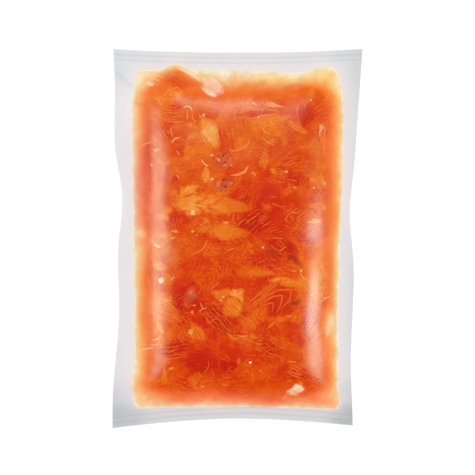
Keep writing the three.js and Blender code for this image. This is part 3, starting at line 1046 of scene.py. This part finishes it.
# Strands: the places that each runs through, how thick it is and how pale.
SHOWN_STRANDS = [
    ([(-50, 136), (-40, 131), (-28, 123.5)], 1.2, 1.0),
    ([(-71, 131.5), (-64, 129), (-58, 126.5)], 0.5, 0.8),
    ([(-58, 112), (-55, 116), (-49, 119), (-45, 118)], 0.35, 0.5),
    ([(-42, 103), (-39.5, 104.3), (-36.5, 103), (-35.5, 100)], 0.5, 0.85),
    ([(-39.5, 101), (-39.5, 93)], 0.35, 0.6),
    ([(-35.5, 98), (-35.5, 95), (-33, 91)], 0.35, 0.5),
    ([(-23, 91.5), (-17, 87), (-14.5, 78)], 0.6, 0.5),
    ([(-26, 88), (-22.5, 82), (-18, 76)], 0.5, 0.5),
    ([(-29, 82.5), (-26.5, 78), (-23, 75.5)], 0.5, 0.45),
    ([(-52, 87.5), (-52.5, 84), (-50.5, 80)], 0.35, 0.6),
    ([(-51.5, 75), (-49.5, 78.5), (-46, 79.5)], 0.5, 0.7),
    ([(-77, 71), (-75, 74), (-68, 76)], 0.4, 0.8),
    ([(-64, 111), (-61, 107), (-59, 104)], 0.45, 0.5),
    ([(-48, 69), (-45.5, 66)], 0.45, 0.6),
    ([(-48, 50), (-45.5, 47)], 0.45, 0.6),
    ([(-68.5, 59), (-67, 57)], 0.5, 0.9),
    ([(-28.5, 62), (-26, 58.5), (-23, 57)], 0.6, 0.7),
    ([(-6, 69), (0, 69), (6, 71.5), (9, 75), (9.5, 79)], 1.1, 0.45),
    ([(-5, 49.5), (0, 50), (5.5, 52), (8.5, 57)], 1.1, 0.55),
    ([(-39, 28), (-32, 26), (-25, 25)], 0.6, 0.6),
    ([(-14, 32), (-10, 31.5), (-6.5, 31.2)], 0.45, 0.5),
    ([(-4, 29.5), (0, 28.5), (1.5, 27)], 0.5, 0.55),
    ([(-5, 8), (1, 7.5)], 0.5, 0.5),
    ([(-30, 10), (-26, 12), (-22.5, 15)], 0.45, 0.5),
    ([(-26, 12.5), (-24, 18)], 0.35, 0.45),
    ([(-36, -13), (-28, -9), (-25, -5), (-23.5, -1)], 0.45, 0.5),
    ([(-8.5, -10), (-3, -7.5)], 0.5, 0.6),
    ([(-52, -32.5), (-50, -30)], 0.45, 0.8),
    ([(-21, -40.5), (-17, -36.5), (-14, -34)], 0.35, 0.5),
    ([(-29.5, -50), (-27, -55.5), (-24, -54.5)], 0.4, 0.75),
    ([(-30, -57), (-27, -55.5)], 0.35, 0.7),
    ([(-21.5, -66), (-19.5, -64), (-16.5, -63)], 0.3, 0.6),
    ([(-8.5, -74), (-5, -77), (0, -79)], 0.4, 0.6),
    ([(0, -76), (5, -77), (9.5, -76.5)], 0.45, 0.6),
    ([(-68, -80.5), (-63, -79), (-60, -76.5)], 0.45, 0.8),
    ([(-69, -83), (-65, -84.5), (-62, -82.5)], 0.4, 0.7),
    ([(-79, -90.5), (-74, -87.2), (-66, -86)], 0.7, 0.9),
    ([(-79, -94), (-78, -98)], 0.8, 0.9),
    ([(-23, -96), (-22.5, -101), (-27, -106.5)], 0.35, 0.3),
    ([(-54, -121), (-51, -127)], 0.5, 0.5),
    ([(-33, -121), (-35, -123.5)], 0.45, 0.5),
    ([(-29, -121), (-29, -125)], 0.4, 0.5),
    ([(-25, -122), (-26, -127)], 0.4, 0.5),
    ([(-20.5, -121), (-21.5, -127)], 0.4, 0.5),
    ([(-17, -124), (-18.5, -128)], 0.4, 0.5),
    ([(5, 110), (3.5, 107), (4, 104.5)], 0.4, 0.5),
    ([(26, 107.5), (30, 105), (36, 103.5)], 0.5, 0.75),
    ([(20, 88), (21, 84), (26, 81.5)], 0.45, 0.5),
    ([(19, 80), (23, 76), (28.5, 73.5)], 0.45, 0.5),
    ([(52, 108.5), (48, 105), (46.5, 99), (49, 92)], 0.35, 0.4),
    ([(64.5, 90), (66.5, 87.5), (64.5, 84), (64.7, 80)], 0.6, 0.55),
    ([(67.5, 91), (69, 86), (68.5, 80)], 0.5, 0.5),
    ([(27, 47), (33, 44), (38, 44.5)], 0.35, 0.4),
    ([(27, 28), (33, 25), (38, 25.5)], 0.35, 0.4),
    ([(1, 31), (4, 34)], 0.4, 0.5),
    ([(0, 10.5), (4, 14)], 0.4, 0.5),
    ([(7, 13), (15, 18)], 0.4, 0.45),
    ([(16, 13), (24, 18.5)], 0.4, 0.45),
    ([(20, 9.5), (26, 13.5)], 0.35, 0.4),
    ([(26, 0.5), (36, 0)], 0.45, 0.45),
    ([(33, -10), (38.5, -6)], 0.5, 0.55),
    ([(26, -5), (31, -9)], 0.35, 0.4),
    ([(8, -8.5), (14, -12.5)], 0.4, 0.5),
    ([(6, -9), (4, -14)], 0.4, 0.45),
    ([(20, -25.5), (25.5, -29)], 0.5, 0.4),
    ([(49.5, -26), (50, -29), (53, -32)], 0.45, 0.6),
    ([(5, -57), (20, -45.5), (33, -33)], 0.6, 0.28),
    ([(9, -50), (20, -41), (23, -36.5)], 0.55, 0.28),
    ([(8, -57.5), (22, -45.5), (32, -40.5), (42.5, -40), (41, -48), (34, -56)], 0.6, 0.28),
    ([(21, -50), (28, -45.5), (35.5, -44.5), (34, -52), (31, -58)], 0.6, 0.28),
    ([(20, -52.5), (28, -50), (28, -54), (27, -58)], 0.5, 0.28),
    ([(34, -36), (45, -35.5), (50, -38), (49, -43), (45, -50)], 0.55, 0.25),
    ([(66, -50), (70, -46.5), (75, -45)], 0.5, 0.7),
    ([(79, -112), (74, -115.5), (78, -118.5)], 0.4, 0.7),
    ([(4, -124.5), (7, -124), (9, -121.5)], 0.4, 0.5),
]

# Strands that run side by side: X and Y of their middle, the way they run in degrees, their length, how
# many there are, the space between them, by how many degrees they turn, how thick they are and how pale.
SHOWN_FANS = [
    (-52, 97.5, 0, 19, 6, 2.2, 55, 0.4, 0.35),
    (-63, 80, -38, 15, 7, 2.3, -25, 0.4, 0.4),
    (-62, 92, -42, 12, 4, 2.2, -20, 0.35, 0.3),
    (-48, 122, -28, 22, 4, 3.2, -10, 0.4, 0.2),
    (-66, 127, -28, 14, 4, 2.4, 0, 0.5, 0.7),
    (-21, 122, -35, 13, 5, 2.4, 20, 0.6, 0.95),
    (-5, 127, 58, 13, 7, 2.6, 10, 0.45, 0.6),
    (14, 124, 50, 12, 5, 2.6, 20, 0.4, 0.5),
    (36, 126, 20, 14, 3, 2.2, 0, 0.4, 0.5),
    (-30, 108, -15, 18, 4, 2.4, 25, 0.4, 0.3),
    (6, 104, 35, 14, 4, 2.4, -20, 0.4, 0.4),
    (24, 104, -18, 16, 3, 2.0, 25, 0.45, 0.5),
    (22, 94, 22, 24, 4, 2.2, -40, 0.45, 0.4),
    (42, 88, -35, 16, 3, 2.4, -20, 0.4, 0.35),
    (74, 70, -62, 18, 5, 2.2, 30, 0.45, 0.45),
    (70, 86, 82, 11, 3, 2.6, 20, 0.5, 0.5),
    (72, 108, 60, 12, 4, 2.4, 20, 0.4, 0.5),
    (-72, 22, -35, 12, 4, 2.6, 10, 0.35, 0.5),
    (-73, 50, -35, 12, 3, 3.0, 10, 0.3, 0.3),
    (-49, -11, 36, 10, 5, 2.8, 10, 0.4, 0.4),
    (-66, -2, 60, 8, 3, 2.4, 0, 0.4, 0.7),
    (-20, -10, -30, 16, 4, 2.4, 30, 0.35, 0.3),
    (-60, -54, -32, 25, 10, 1.8, 12, 0.32, 0.5),
    (-76, -64, -30, 9, 9, 2.6, 0, 0.35, 0.6),
    (-15.5, -62, -46, 24, 6, 2.7, 15, 0.35, 0.25),
    (9, -66, -52, 16, 6, 2.0, -35, 0.4, 0.4),
    (7, -77, -14, 16, 4, 1.8, -8, 0.4, 0.5),
    (-40, -66, -40, 14, 4, 2.2, 20, 0.35, 0.3),
    (58, -66, 52, 20, 5, 2.4, -25, 0.4, 0.3),
    (73, -90, 70, 14, 4, 2.2, 0, 0.4, 0.5),
    (28, -88, -20, 18, 5, 2.4, 40, 0.35, 0.25),
    (46, -105, -24, 15, 4, 2.2, -15, 0.45, 0.35),
    (63, -113.5, -24, 16, 4, 2.4, -15, 0.4, 0.35),
    (22, -106, 50, 10, 5, 2.2, 30, 0.35, 0.25),
    (-48, -125, -25, 14, 5, 1.8, 20, 0.35, 0.4),
    (-30, -126, -18, 10, 4, 1.8, 10, 0.35, 0.35),
    (-52, -90, 8, 20, 4, 2.8, 20, 0.35, 0.25),
    (-10, -112, -10, 18, 4, 2.2, 20, 0.3, 0.2),
    (40, 62, 20, 16, 4, 2.6, 30, 0.35, 0.25),
    (20, 66, -30, 14, 4, 2.4, -20, 0.35, 0.3),
    (-40, 58, 40, 14, 4, 2.4, 20, 0.35, 0.25),
    (-30, 45, -20, 14, 4, 2.4, 20, 0.35, 0.3),
    (40, -24, -20, 18, 4, 2.0, 20, 0.35, 0.3),
    (6, -18, -14, 20, 4, 2.2, 20, 0.35, 0.3),
]

# Places without strewn strands: X, Y and half sizes.
PLAIN_PLACES = [(27, -46, 26, 17), (46, -119, 12, 9), (-22, 118, 12, 9)]

# ---- Materials ----


def paint(red, green, blue):
    """The linear colour of an sRGB one, given from 0 to 255."""
    shares = [level / 255 for level in (red, green, blue)]
    linear = [share / 12.92 if share < 0.04045 else ((share + 0.055) / 1.055) ** 2.4 for share in shares]
    return (*linear, 1)


class Shading:
    """Short calls for making a material's nodes and linking them."""

    def __init__(self, owner):
        owner.use_nodes = True
        self.tree = owner.node_tree
        self.tree.nodes.clear()

    def node(self, kind, inputs, **settings):
        made = self.tree.nodes.new("ShaderNode" + kind)
        for key, value in settings.items():
            setattr(made, key, value)
        for key, value in inputs.items():
            if isinstance(value, bpy.types.NodeSocket):
                self.tree.links.new(value, made.inputs[key])
            else:
                made.inputs[key].default_value = value
        return made

    def attribute(self, name, output="Fac"):
        return self.node("Attribute", {}, attribute_name=name).outputs[output]

    def math(self, operation, *values):
        return self.node("Math", dict(enumerate(values)), operation=operation).outputs[0]

    def vector_math(self, operation, *values):
        return self.node("VectorMath", dict(enumerate(values)), operation=operation).outputs[0]

    def place(self):
        """The place on the pouch, in millimetres."""
        metres = self.node("TexCoord", {}).outputs["Object"]
        return self.vector_math("MULTIPLY", metres, (1 / MM, 1 / MM, 1 / MM))

    def noise(self, vector, scale, detail=3.0):
        settings = {"Vector": vector, "Scale": scale, "Detail": detail, "Roughness": 0.55}
        return self.node("TexNoise", settings).outputs["Fac"]

    def span(self, value, low, high, start=0.0, end=1.0):
        """Goes smoothly from start to end while the value goes from low to high."""
        inputs = {"Value": value, "From Min": low, "From Max": high, "To Min": start, "To Max": end}
        return self.node("MapRange", inputs, interpolation_type="SMOOTHSTEP").outputs[0]

    def ridge(self, value, middle, reach):
        """1 where the value is at the middle, and down to 0 at the reach on either side of it."""
        away = self.math("ABSOLUTE", self.math("SUBTRACT", value, middle))
        return self.span(away, 0.0, reach, 1.0, 0.0)

    def mix(self, share, first, second):
        return self.node("Mix", {0: share, 6: first, 7: second}, data_type="RGBA").outputs[2]

    def ramp(self, value, stops):
        made = self.node("ValToRGB", {"Fac": value})
        elements = made.color_ramp.elements
        while len(elements) < len(stops):
            elements.new(0.5)
        for element, (place, *colour) in zip(elements, stops):
            element.position = place
            element.color = paint(*colour)
        return made.outputs["Color"]

    def matt_surface(self, colour, roughness, **inputs):
        """Ends the material in a surface without a gloss: on the fish, that is left to the film."""
        inputs = {"Base Color": colour, "Roughness": roughness, "Specular IOR Level": 0.0, **inputs}
        self.node("OutputMaterial", {"Surface": self.node("BsdfPrincipled", inputs).outputs[0]})


def new_material(name):
    material = bpy.data.materials.new(name)
    return material, Shading(material)


# Colours along a ramp: the position from 0 to 1, then red, green and blue from 0 to 255.
FLESH = [
    (0.0, 184, 26, 3),
    (0.15, 194, 37, 1),
    (0.31, 202, 52, 1),
    (0.45, 210, 76, 2),
    (0.6, 217, 99, 14),
    (0.75, 226, 120, 30),
    (0.9, 235, 145, 58),
    (1.0, 239, 168, 88),
]
FAT = [
    (0.0, 216, 98, 10),
    (0.25, 224, 122, 30),
    (0.5, 229, 150, 66),
    (0.75, 233, 186, 132),
    (1.0, 238, 214, 192),
]
DARK = [(0.0, 120, 24, 14), (0.5, 176, 52, 26), (0.8, 196, 84, 50), (1.0, 214, 124, 92)]
STRAND = [(0.0, 214, 80, 10), (0.5, 226, 120, 40), (1.0, 240, 198, 150)]
# Colours of the painted rim glow, rose and cream, from faint to full.
GLOW_ROSE = [
    (0.1, 228, 80, 48),
    (0.25, 230, 104, 78),
    (0.4, 233, 136, 108),
    (0.6, 235, 174, 144),
    (0.8, 236, 204, 180),
    (1.0, 244, 236, 230),
]
GLOW_CREAM = [
    (0.1, 238, 98, 22),
    (0.25, 240, 122, 38),
    (0.4, 241, 150, 64),
    (0.6, 241, 184, 106),
    (0.8, 241, 212, 148),
    (1.0, 245, 238, 216),
]
FLESH_STRETCH = 0.75  # how many steps of the flesh's colours a step in its tint makes
BLEND_SHIFT = 0.3  # of a flake's blending rim, to make up for the noise that is added to it
WISPS = ((0.17, 0.09, 0.22), (0.28, 0.15, 0.16))  # scale of wisps, scale of the patches with them, strength


def add_rim_glow(shading, colour, place):
    """Paints over a colour the glow of light through the thin fish at the slab's rim."""
    uneven = shading.span(shading.noise(place, 0.12, detail=2.0), 0.3, 0.7, 0.9, 1.08)
    glow = shading.math("MULTIPLY", shading.attribute("glow"), uneven)
    rose, cream = shading.ramp(glow, GLOW_ROSE), shading.ramp(glow, GLOW_CREAM)
    faded = shading.mix(shading.attribute("cream"), rose, cream)
    share = shading.math("MULTIPLY", shading.span(glow, 0.0, 0.3), shading.attribute("fading"))
    return shading.mix(share, colour, faded)


def fat_lines(shading, place):
    """How much of a fat line shows at each place: soft, broken lines in the middle of the flake's bands."""
    stray = shading.math("MULTIPLY", shading.noise(place, 0.28), 0.9)
    phase = shading.math("FRACT", shading.math("ADD", shading.attribute("band"), stray))
    broken = shading.span(shading.noise(place, 0.22), 0.4, 0.56, 0.15, 1.0)
    line = shading.math("MULTIPLY", shading.ridge(phase, 0.5, 0.22), broken)
    return shading.math("MULTIPLY", line, shading.attribute("lines"))


def with_wisps(shading, tint, place, swayed):
    """A tint that thin pale wisps of fat raise here and there."""
    for scale, patch_scale, strength in WISPS:
        shown = shading.span(shading.noise(place, patch_scale, detail=1.0), 0.45, 0.6, 0.0, strength)
        wisp = shading.math("MULTIPLY", shading.ridge(shading.noise(swayed, scale), 0.5, 0.04), shown)
        tint = shading.math("ADD", tint, wisp)
    return tint


def fish_material(name, stops, line_colour, blend, fibre=0.38, blotch=0.55, fleck=0.05, stretch=1.0):
    """Wet raw fish: fibres along the grain, blotches, wisps of fat, fat lines and a painted glow at the rim.
    Over the given stretch of its own way out a flake blends into the fish around it."""
    material, shading = new_material(name)
    place = shading.place()
    sway = shading.node("TexNoise", {"Vector": place, "Scale": 0.11, "Detail": 2.0}).outputs["Color"]
    swayed = shading.vector_math("MULTIPLY_ADD", sway, (9.0, 9.0, 9.0), place)
    grain = shading.vector_math("MULTIPLY", shading.attribute("grain", "Vector"), (0.16, 0.7, 1.0))
    fibres = shading.noise(shading.vector_math("MULTIPLY_ADD", sway, (2.0, 2.0, 0.0), grain), 1.0)
    clouds = shading.noise(place, 0.045, detail=1.0)
    blotches = shading.noise(swayed, 0.1)
    flecks = shading.noise(swayed, 0.4, detail=2.0)
    uneven = 0.0
    for noise, amount in ((fibres, fibre), (clouds, 0.4), (blotches, blotch), (flecks, fleck)):
        uneven = shading.math("ADD", shading.math("MULTIPLY_ADD", noise, amount, -amount / 2), uneven)
    uneven = with_wisps(shading, uneven, place, swayed)
    tint = shading.math("MULTIPLY", shading.math("ADD", shading.attribute("tint"), uneven), stretch)
    line = fat_lines(shading, place)
    colour = shading.mix(line, shading.ramp(tint, stops), line_colour)
    rim = shading.math("MULTIPLY_ADD", shading.noise(place, 0.4), 0.6, shading.attribute("out"))
    rim = shading.span(rim, blend[0] + BLEND_SHIFT, blend[1] + BLEND_SHIFT)
    around = shading.math("ADD", uneven, shading.attribute("around"))
    around = shading.ramp(shading.math("MULTIPLY", around, FLESH_STRETCH), FLESH)
    colour = add_rim_glow(shading, shading.mix(rim, colour, around), place)
    height = shading.math("MULTIPLY_ADD", line, 0.5, shading.math("ADD", flecks, fibres))
    relief = shading.node("Bump", {"Strength": 0.1, "Distance": 0.0004, "Height": height})
    shading.matt_surface(colour, 0.42, Normal=relief.outputs[0])
    return material


def strand_material():
    """Threads of fat and membrane."""
    material, shading = new_material("salmon_strand")
    place = shading.place()
    uneven = shading.math("MULTIPLY_ADD", shading.noise(place, 0.5), 0.6, -0.3)
    colour = shading.ramp(shading.math("ADD", shading.attribute("tint"), uneven), STRAND)
    shading.matt_surface(add_rim_glow(shading, colour, place), 0.4)
    return material


def film_material():
    """Clear pouch film: a faint grey tint where it lies double, partly its own and partly painted shade, and
    a soft gloss.
    """
    material, shading = new_material("pouch_film")
    tint = shading.mix(shading.attribute("tint_and_shade"), (1, 1, 1, 1), (0.0, 0.06, 0.12, 1))
    clear = shading.node("BsdfTransparent", {"Color": tint}).outputs[0]
    creases = shading.noise(shading.place(), 0.35, detail=2.0)
    relief = shading.node("Bump", {"Strength": 0.12, "Distance": 0.0006, "Height": creases})
    gloss = {"Color": (1, 1, 1, 1), "Roughness": 0.31, "Normal": relief.outputs[0]}
    sheen = shading.node("BsdfGlossy", gloss).outputs[0]
    outside = shading.math("SUBTRACT", 1.0, shading.node("NewGeometry", {}).outputs["Backfacing"])
    share = shading.math("MULTIPLY", shading.node("Fresnel", {"IOR": 1.5}).outputs[0], outside)
    share = shading.math("MULTIPLY", share, shading.attribute("sheen"))
    both = shading.node("MixShader", {0: share, 1: clear, 2: sheen}).outputs[0]
    shading.node("OutputMaterial", {"Surface": both})
    return material


def floor_material():
    material, shading = new_material("pale_floor")
    shading.matt_surface((0.9, 0.9, 0.9, 1), 0.9)
    return material


# ---- The fish ----


def slab_core(field):
    """Grid, points and faces of the closed slab that the flakes lie on."""
    columns, rows = [grid_lines(slab_cells(*cells)) for cells in CORE_CELLS]
    x, y = lay_grid(columns, rows, with_margin=False)
    base = base_height(x, y) + FILM_GAP + UNDER_ROOM * shoulder(depth_in_slab(x, y), BASE_SHOULDER)
    top = np.maximum(field.fish_height(x, y, PIECE_DIP), base + 0.1)
    return (x, y, *closed_skin(x, y, top, base))


field = Field(large_flakes())
flesh = Pile()
for flake in large_flakes():
    lay_large(flesh, field, flake)
for flake in scraps(SCRAPS):
    lay_thin(flesh, field, flake, SCRAP_THICKNESS)
for row in SHOWN_FLAKES:
    lay_thin(flesh, field, shown_flake(*row), FLESH_THICKNESS, rings=9, spokes=32)
underneath = Pile()
for flake in large_flakes():
    if depth_in_slab(np.array(flake.x), np.array(flake.y)) > BASE_SHOULDER:
        lay_underneath(underneath, flake)
fat = Pile()
for row in SHOWN_FAT:
    lay_thin(fat, field, shown_flake(*row), FAT_THICKNESS)
dark = Pile()
for row in SHOWN_DARK:
    lay_thin(dark, field, shown_flake(*row), DARK_THICKNESS)
threads = Threads()
strew_threads(threads, field, STREWN_ON_TOP, LOOKS_SEED + 2)
for row in SHOWN_FANS:
    fan_of_threads(threads, field, *row)
for places, radius, tint in SHOWN_STRANDS:
    strand_through(threads, field, places, radius, tint)
strew_threads(threads, Underside, STREWN_UNDERNEATH, LOOKS_SEED + 3)

# ---- The film ----

CREASE = ((-97, 132), (-82, 119))  # a fold from the edge of the pouch to the corner of its slab
CREASE_HEIGHT = 0.5
CREASE_WIDTH = 1.4


def on_crease(x, y):
    """1 on the crease, and fading over its width."""
    (start_x, start_y), (end_x, end_y) = CREASE
    run_x, run_y = end_x - start_x, end_y - start_y
    share = np.clip(((x - start_x) * run_x + (y - start_y) * run_y) / (run_x**2 + run_y**2), 0, 1)
    return bump(np.hypot(x - start_x - share * run_x, y - start_y - share * run_y), 0, CREASE_WIDTH)


def film_tint_and_shade(x, y):
    """How much light each film takes: an even grey tint of its own, and painted shade, most near the pouch's
    edge, at its foot and corners, in the seals' grooves and on the crease, and none over the fish."""
    out = np.clip(-depth_in_slab(x, y), 0, 14)
    from_edge = from_seal_edge(x, y)
    right = smoothstep(x, 60, 85)
    lower = smoothstep(-y, -20, 40)
    beside_peak = smoothstep(-x, 70, 90) * bump(y, 105, 25)
    head_corner = smoothstep(np.abs(x), 84, 97) * smoothstep(y, 100, 140)
    foot_corner = smoothstep(np.abs(x), 65, 85) * smoothstep(-y, 105, 125)
    foot = smoothstep(-y, 128, 138)
    seal = 1 - smoothstep(from_edge, 7, 12)
    groove = sum(np.clip(1 - np.abs(from_edge - place) / GROOVE_WIDTH, 0, 1) for place in GROOVES)
    # Painted shade: darker outwards, on the right, at the corners, the foot, the grooves and the crease, and
    # lighter on the left beside the head.
    tint_and_shade = 0.063 + 0.0023 * out
    tint_and_shade += right * (0.002 + (0.0011 + 0.002 * lower) * out) - 0.012 * beside_peak
    tint_and_shade += 0.012 * head_corner + (0.024 + 0.001 * out) * foot_corner
    tint_and_shade += (0.045 - 0.01 * seal) * foot + 0.035 * groove + 0.03 * on_crease(x, y)
    return tint_and_shade * (1 - smoothstep(depth_in_slab(x, y), 0, 4))


def film_sheen(x, y):
    """How much of a clean film's gloss shows: the loose margin is duller than the film on the fish."""
    return lerp(0.1, 1, smoothstep(depth_in_slab(x, y), 2, 12))


def film_skin(field):
    """The pouch's closed skin of film: it clings to the flakes and is flat and welded beside them."""
    beside, beyond = MARGIN_CELLS
    across, along = [slab_cells(*cells) for cells in FILM_CELLS]
    seal = [1] * len(SEAL_INSETS)
    columns = grid_lines([beside, *across, beside])
    rows = grid_lines([*seal, beyond, *along, beyond, *seal])
    x, y = lay_grid(columns, rows, with_margin=True)
    fold = CREASE_HEIGHT * on_crease(x, y)
    return x, y, *closed_skin(x, y, field.film_height(x, y) + fold, base_height(x, y) + fold)


# The solid in model.glb was moved to its origin, and every piece here is moved in the same way.
film_x, film_y, film_points, film_faces = film_skin(field)
film_low, film_high = film_points.min(0) * MM, film_points.max(0) * MM
film_middle = (Vector(film_low) + Vector(film_high)) / 2
cad_middle = (cad_low + cad_high) / 2
SHIFT = Vector((cad_middle.x - film_middle.x, cad_middle.y - film_middle.y, cad_low.z - film_low[2]))


def make_piece(name, points, faces, floats, vectors, material, sharp=60):
    """An object from points in millimetres, with the numbers that its material reads at each point. Edges
    are shaded sharp from that angle on, in degrees."""
    mesh = bpy.data.meshes.new(name)
    mesh.from_pydata((np.asarray(points) * MM + np.array(SHIFT)).tolist(), [], faces)
    for key, values in floats.items():
        attribute = mesh.attributes.new(key, "FLOAT", "POINT")
        attribute.data.foreach_set("value", np.asarray(values, np.float32).ravel())
    for key, values in vectors.items():
        attribute = mesh.attributes.new(key, "FLOAT_VECTOR", "POINT")
        attribute.data.foreach_set("vector", np.asarray(values, np.float32).ravel())
    mesh.materials.append(material)
    mesh.shade_smooth()
    mesh.set_sharp_from_angle(angle=math.radians(sharp))
    piece = bpy.data.objects.new(name, mesh)
    bpy.context.scene.collection.objects.link(piece)
    return piece


def both_sheets(values):
    """The same values for the top sheet and for the base sheet."""
    return np.concatenate([values.ravel(), values.ravel()])


LINE_COLOUR = paint(224, 116, 36)
flesh_material = fish_material("salmon_flesh", FLESH, LINE_COLOUR, (0.55, 1.05), stretch=FLESH_STRETCH)
fat_material = fish_material("salmon_fat", FAT, paint(230, 156, 76), (0.55, 1.0), 0.35, 0.25, 0.05)
dark_material = fish_material("dark_salmon_meat", DARK, paint(208, 108, 74), (0.2, 1.0), 0.4, 0.4, 0.4)

CORE_LINES = 0.3  # strength of the fat lines on the slab's core
CORE_LINE_SPACING = 4
BASE_GLOW = 0.4  # share of the painted rim glow on the lower flank, which is in shade, where the glow would look grey

core_x, core_y, core_points, core_faces = slab_core(field)
core_tint = both_sheets(MEAN_TINT + sum_of_areas(TINT_AND_LIGHT_AREAS, core_x, core_y))
core_light = np.repeat([1, BASE_GLOW], core_x.size)
core_floats = {
    "tint": core_tint,
    "around": core_tint,
    "out": np.zeros_like(core_tint),
    "band": both_sheets(core_y / CORE_LINE_SPACING),
    "lines": np.full_like(core_tint, CORE_LINES),
    # painted rim glow, weaker on the lower flank
    "glow": both_sheets(painted_glow(core_x, core_y)) * core_light,
    "cream": both_sheets(creaminess(core_x, core_y)) * core_light,
    "fading": np.ones_like(core_tint),
}
core_grain = {"grain": core_points}
core = make_piece("salmon_slab", core_points, core_faces, core_floats, core_grain, flesh_material, sharp=25)
# The film's grey tint with its painted shade, and how much of its gloss shows.
tint_and_shade, sheen = both_sheets(film_tint_and_shade(film_x, film_y)), both_sheets(film_sheen(film_x, film_y))
film_floats = {"tint_and_shade": tint_and_shade, "sheen": sheen}
film = make_piece("pouch_film", film_points, film_faces, film_floats, {}, film_material())
pieces = {
    core: "salmon_flesh",
    flesh.make("salmon_flakes", flesh_material): "salmon_flesh",
    underneath.make("underside_flakes", flesh_material): "salmon_flesh",
    fat.make("fat_flakes", fat_material): "salmon_fat",
    dark.make("dark_meat", dark_material): "salmon_flesh",
    threads.make("fat_threads", strand_material()): "salmon_fat",
    film: "clear_film",
}
for piece, slot in pieces.items():
    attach(piece, "root")
    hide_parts("sealed_pouch")

# ---- Floor, light and camera, in metres ----

FLOOR_SIZE = 24.0
FLOOR_DROP = 0.0004
OVERHEAD = 2.6
FILL = 0.36
SOFTBOX_HEIGHT = 0.3
SOFTBOX_COLOUR = (0.65, 1.0, 0.88)  # because the photo's highlights raise green and blue more than red
SOFTBOXES = {  # left, right, foot and head edge, and radiance
    "left_softbox": (-0.48, -0.225, -0.13, 0.115, 6.6),
    "right_softbox": (0.225, 0.48, -0.13, -0.026, 15.5),
    "head_softbox": (-0.045, 0.055, 0.17, 0.26, 7.5),
}
SENSOR = 36.0  # millimetres
CAMERA_DISTANCE = 2.0
PICTURE_SIDE = 0.3776
PICTURE_MIDDLE = (0.0, 0.0008)


def add_floor():
    half = FLOOR_SIZE / 2
    mesh = bpy.data.meshes.new("floor")
    corners = [(side * half, end * half, -FLOOR_DROP) for side, end in ((-1, -1), (1, -1), (1, 1), (-1, 1))]
    mesh.from_pydata(corners, [], [(0, 1, 2, 3)])
    mesh.materials.append(floor_material())
    floor = bpy.data.objects.new("floor", mesh)
    bpy.context.scene.collection.objects.link(floor)


def add_light(name, kind, place, **settings):
    light = bpy.data.objects.new(name, bpy.data.lights.new(name, kind))
    for key, value in settings.items():
        setattr(light.data, key, value)
    light.location = place
    light.visible_camera = False
    bpy.context.scene.collection.objects.link(light)
    return light


def add_overhead():
    """Soft light straight from above that no surface mirrors."""
    light = add_light("overhead", "SUN", (0, 0, 1), energy=OVERHEAD, angle=math.radians(6))
    light.visible_glossy = False


def add_softbox(name, left, right, foot, head, radiance):
    """A panel above the pouch that only shows as a highlight on the film."""
    width, depth = right - left, head - foot
    place = ((left + right) / 2, (foot + head) / 2, SOFTBOX_HEIGHT)
    power = radiance * width * depth * 4
    shape = {"shape": "RECTANGLE", "size": width, "size_y": depth}
    light = add_light(name, "AREA", place, energy=power, color=SOFTBOX_COLOUR, **shape)
    light.visible_diffuse = False


def add_world():
    """A white studio: plain to the camera, dimmer as fill light, and mirrored only near the horizon."""
    world = bpy.data.worlds.new("studio")
    bpy.context.scene.world = world
    shading = Shading(world)
    rays = shading.node("LightPath", {}).outputs
    ahead = shading.node("SeparateXYZ", {0: shading.node("TexCoord", {}).outputs["Generated"]}).outputs[2]
    mirrored = shading.span(ahead, 0.1, 0.4, 0.7, 0.02)
    level = FILL
    for kind, seen in (("Is Glossy Ray", mirrored), ("Is Camera Ray", 1.0)):
        level = shading.node("Mix", {0: rays[kind], 2: level, 3: seen}, data_type="FLOAT").outputs[0]
    sky = shading.node("Background", {"Color": (1, 1, 1, 1), "Strength": level}).outputs[0]
    shading.node("OutputWorld", {"Surface": sky})


def add_camera():
    """Looks straight down, with the head seal at the top of the picture."""
    camera = bpy.data.objects.new("camera", bpy.data.cameras.new("camera"))
    camera.data.sensor_width = SENSOR
    camera.data.lens = SENSOR * CAMERA_DISTANCE / PICTURE_SIDE
    camera.data.clip_end = 100
    camera.location = (*PICTURE_MIDDLE, CAMERA_DISTANCE)
    bpy.context.scene.collection.objects.link(camera)
    bpy.context.scene.camera = camera


add_floor()
add_overhead()
for name, panel in SOFTBOXES.items():
    add_softbox(name, *panel)
add_world()
add_camera()
bpy.context.scene.view_settings.view_transform = "Standard"
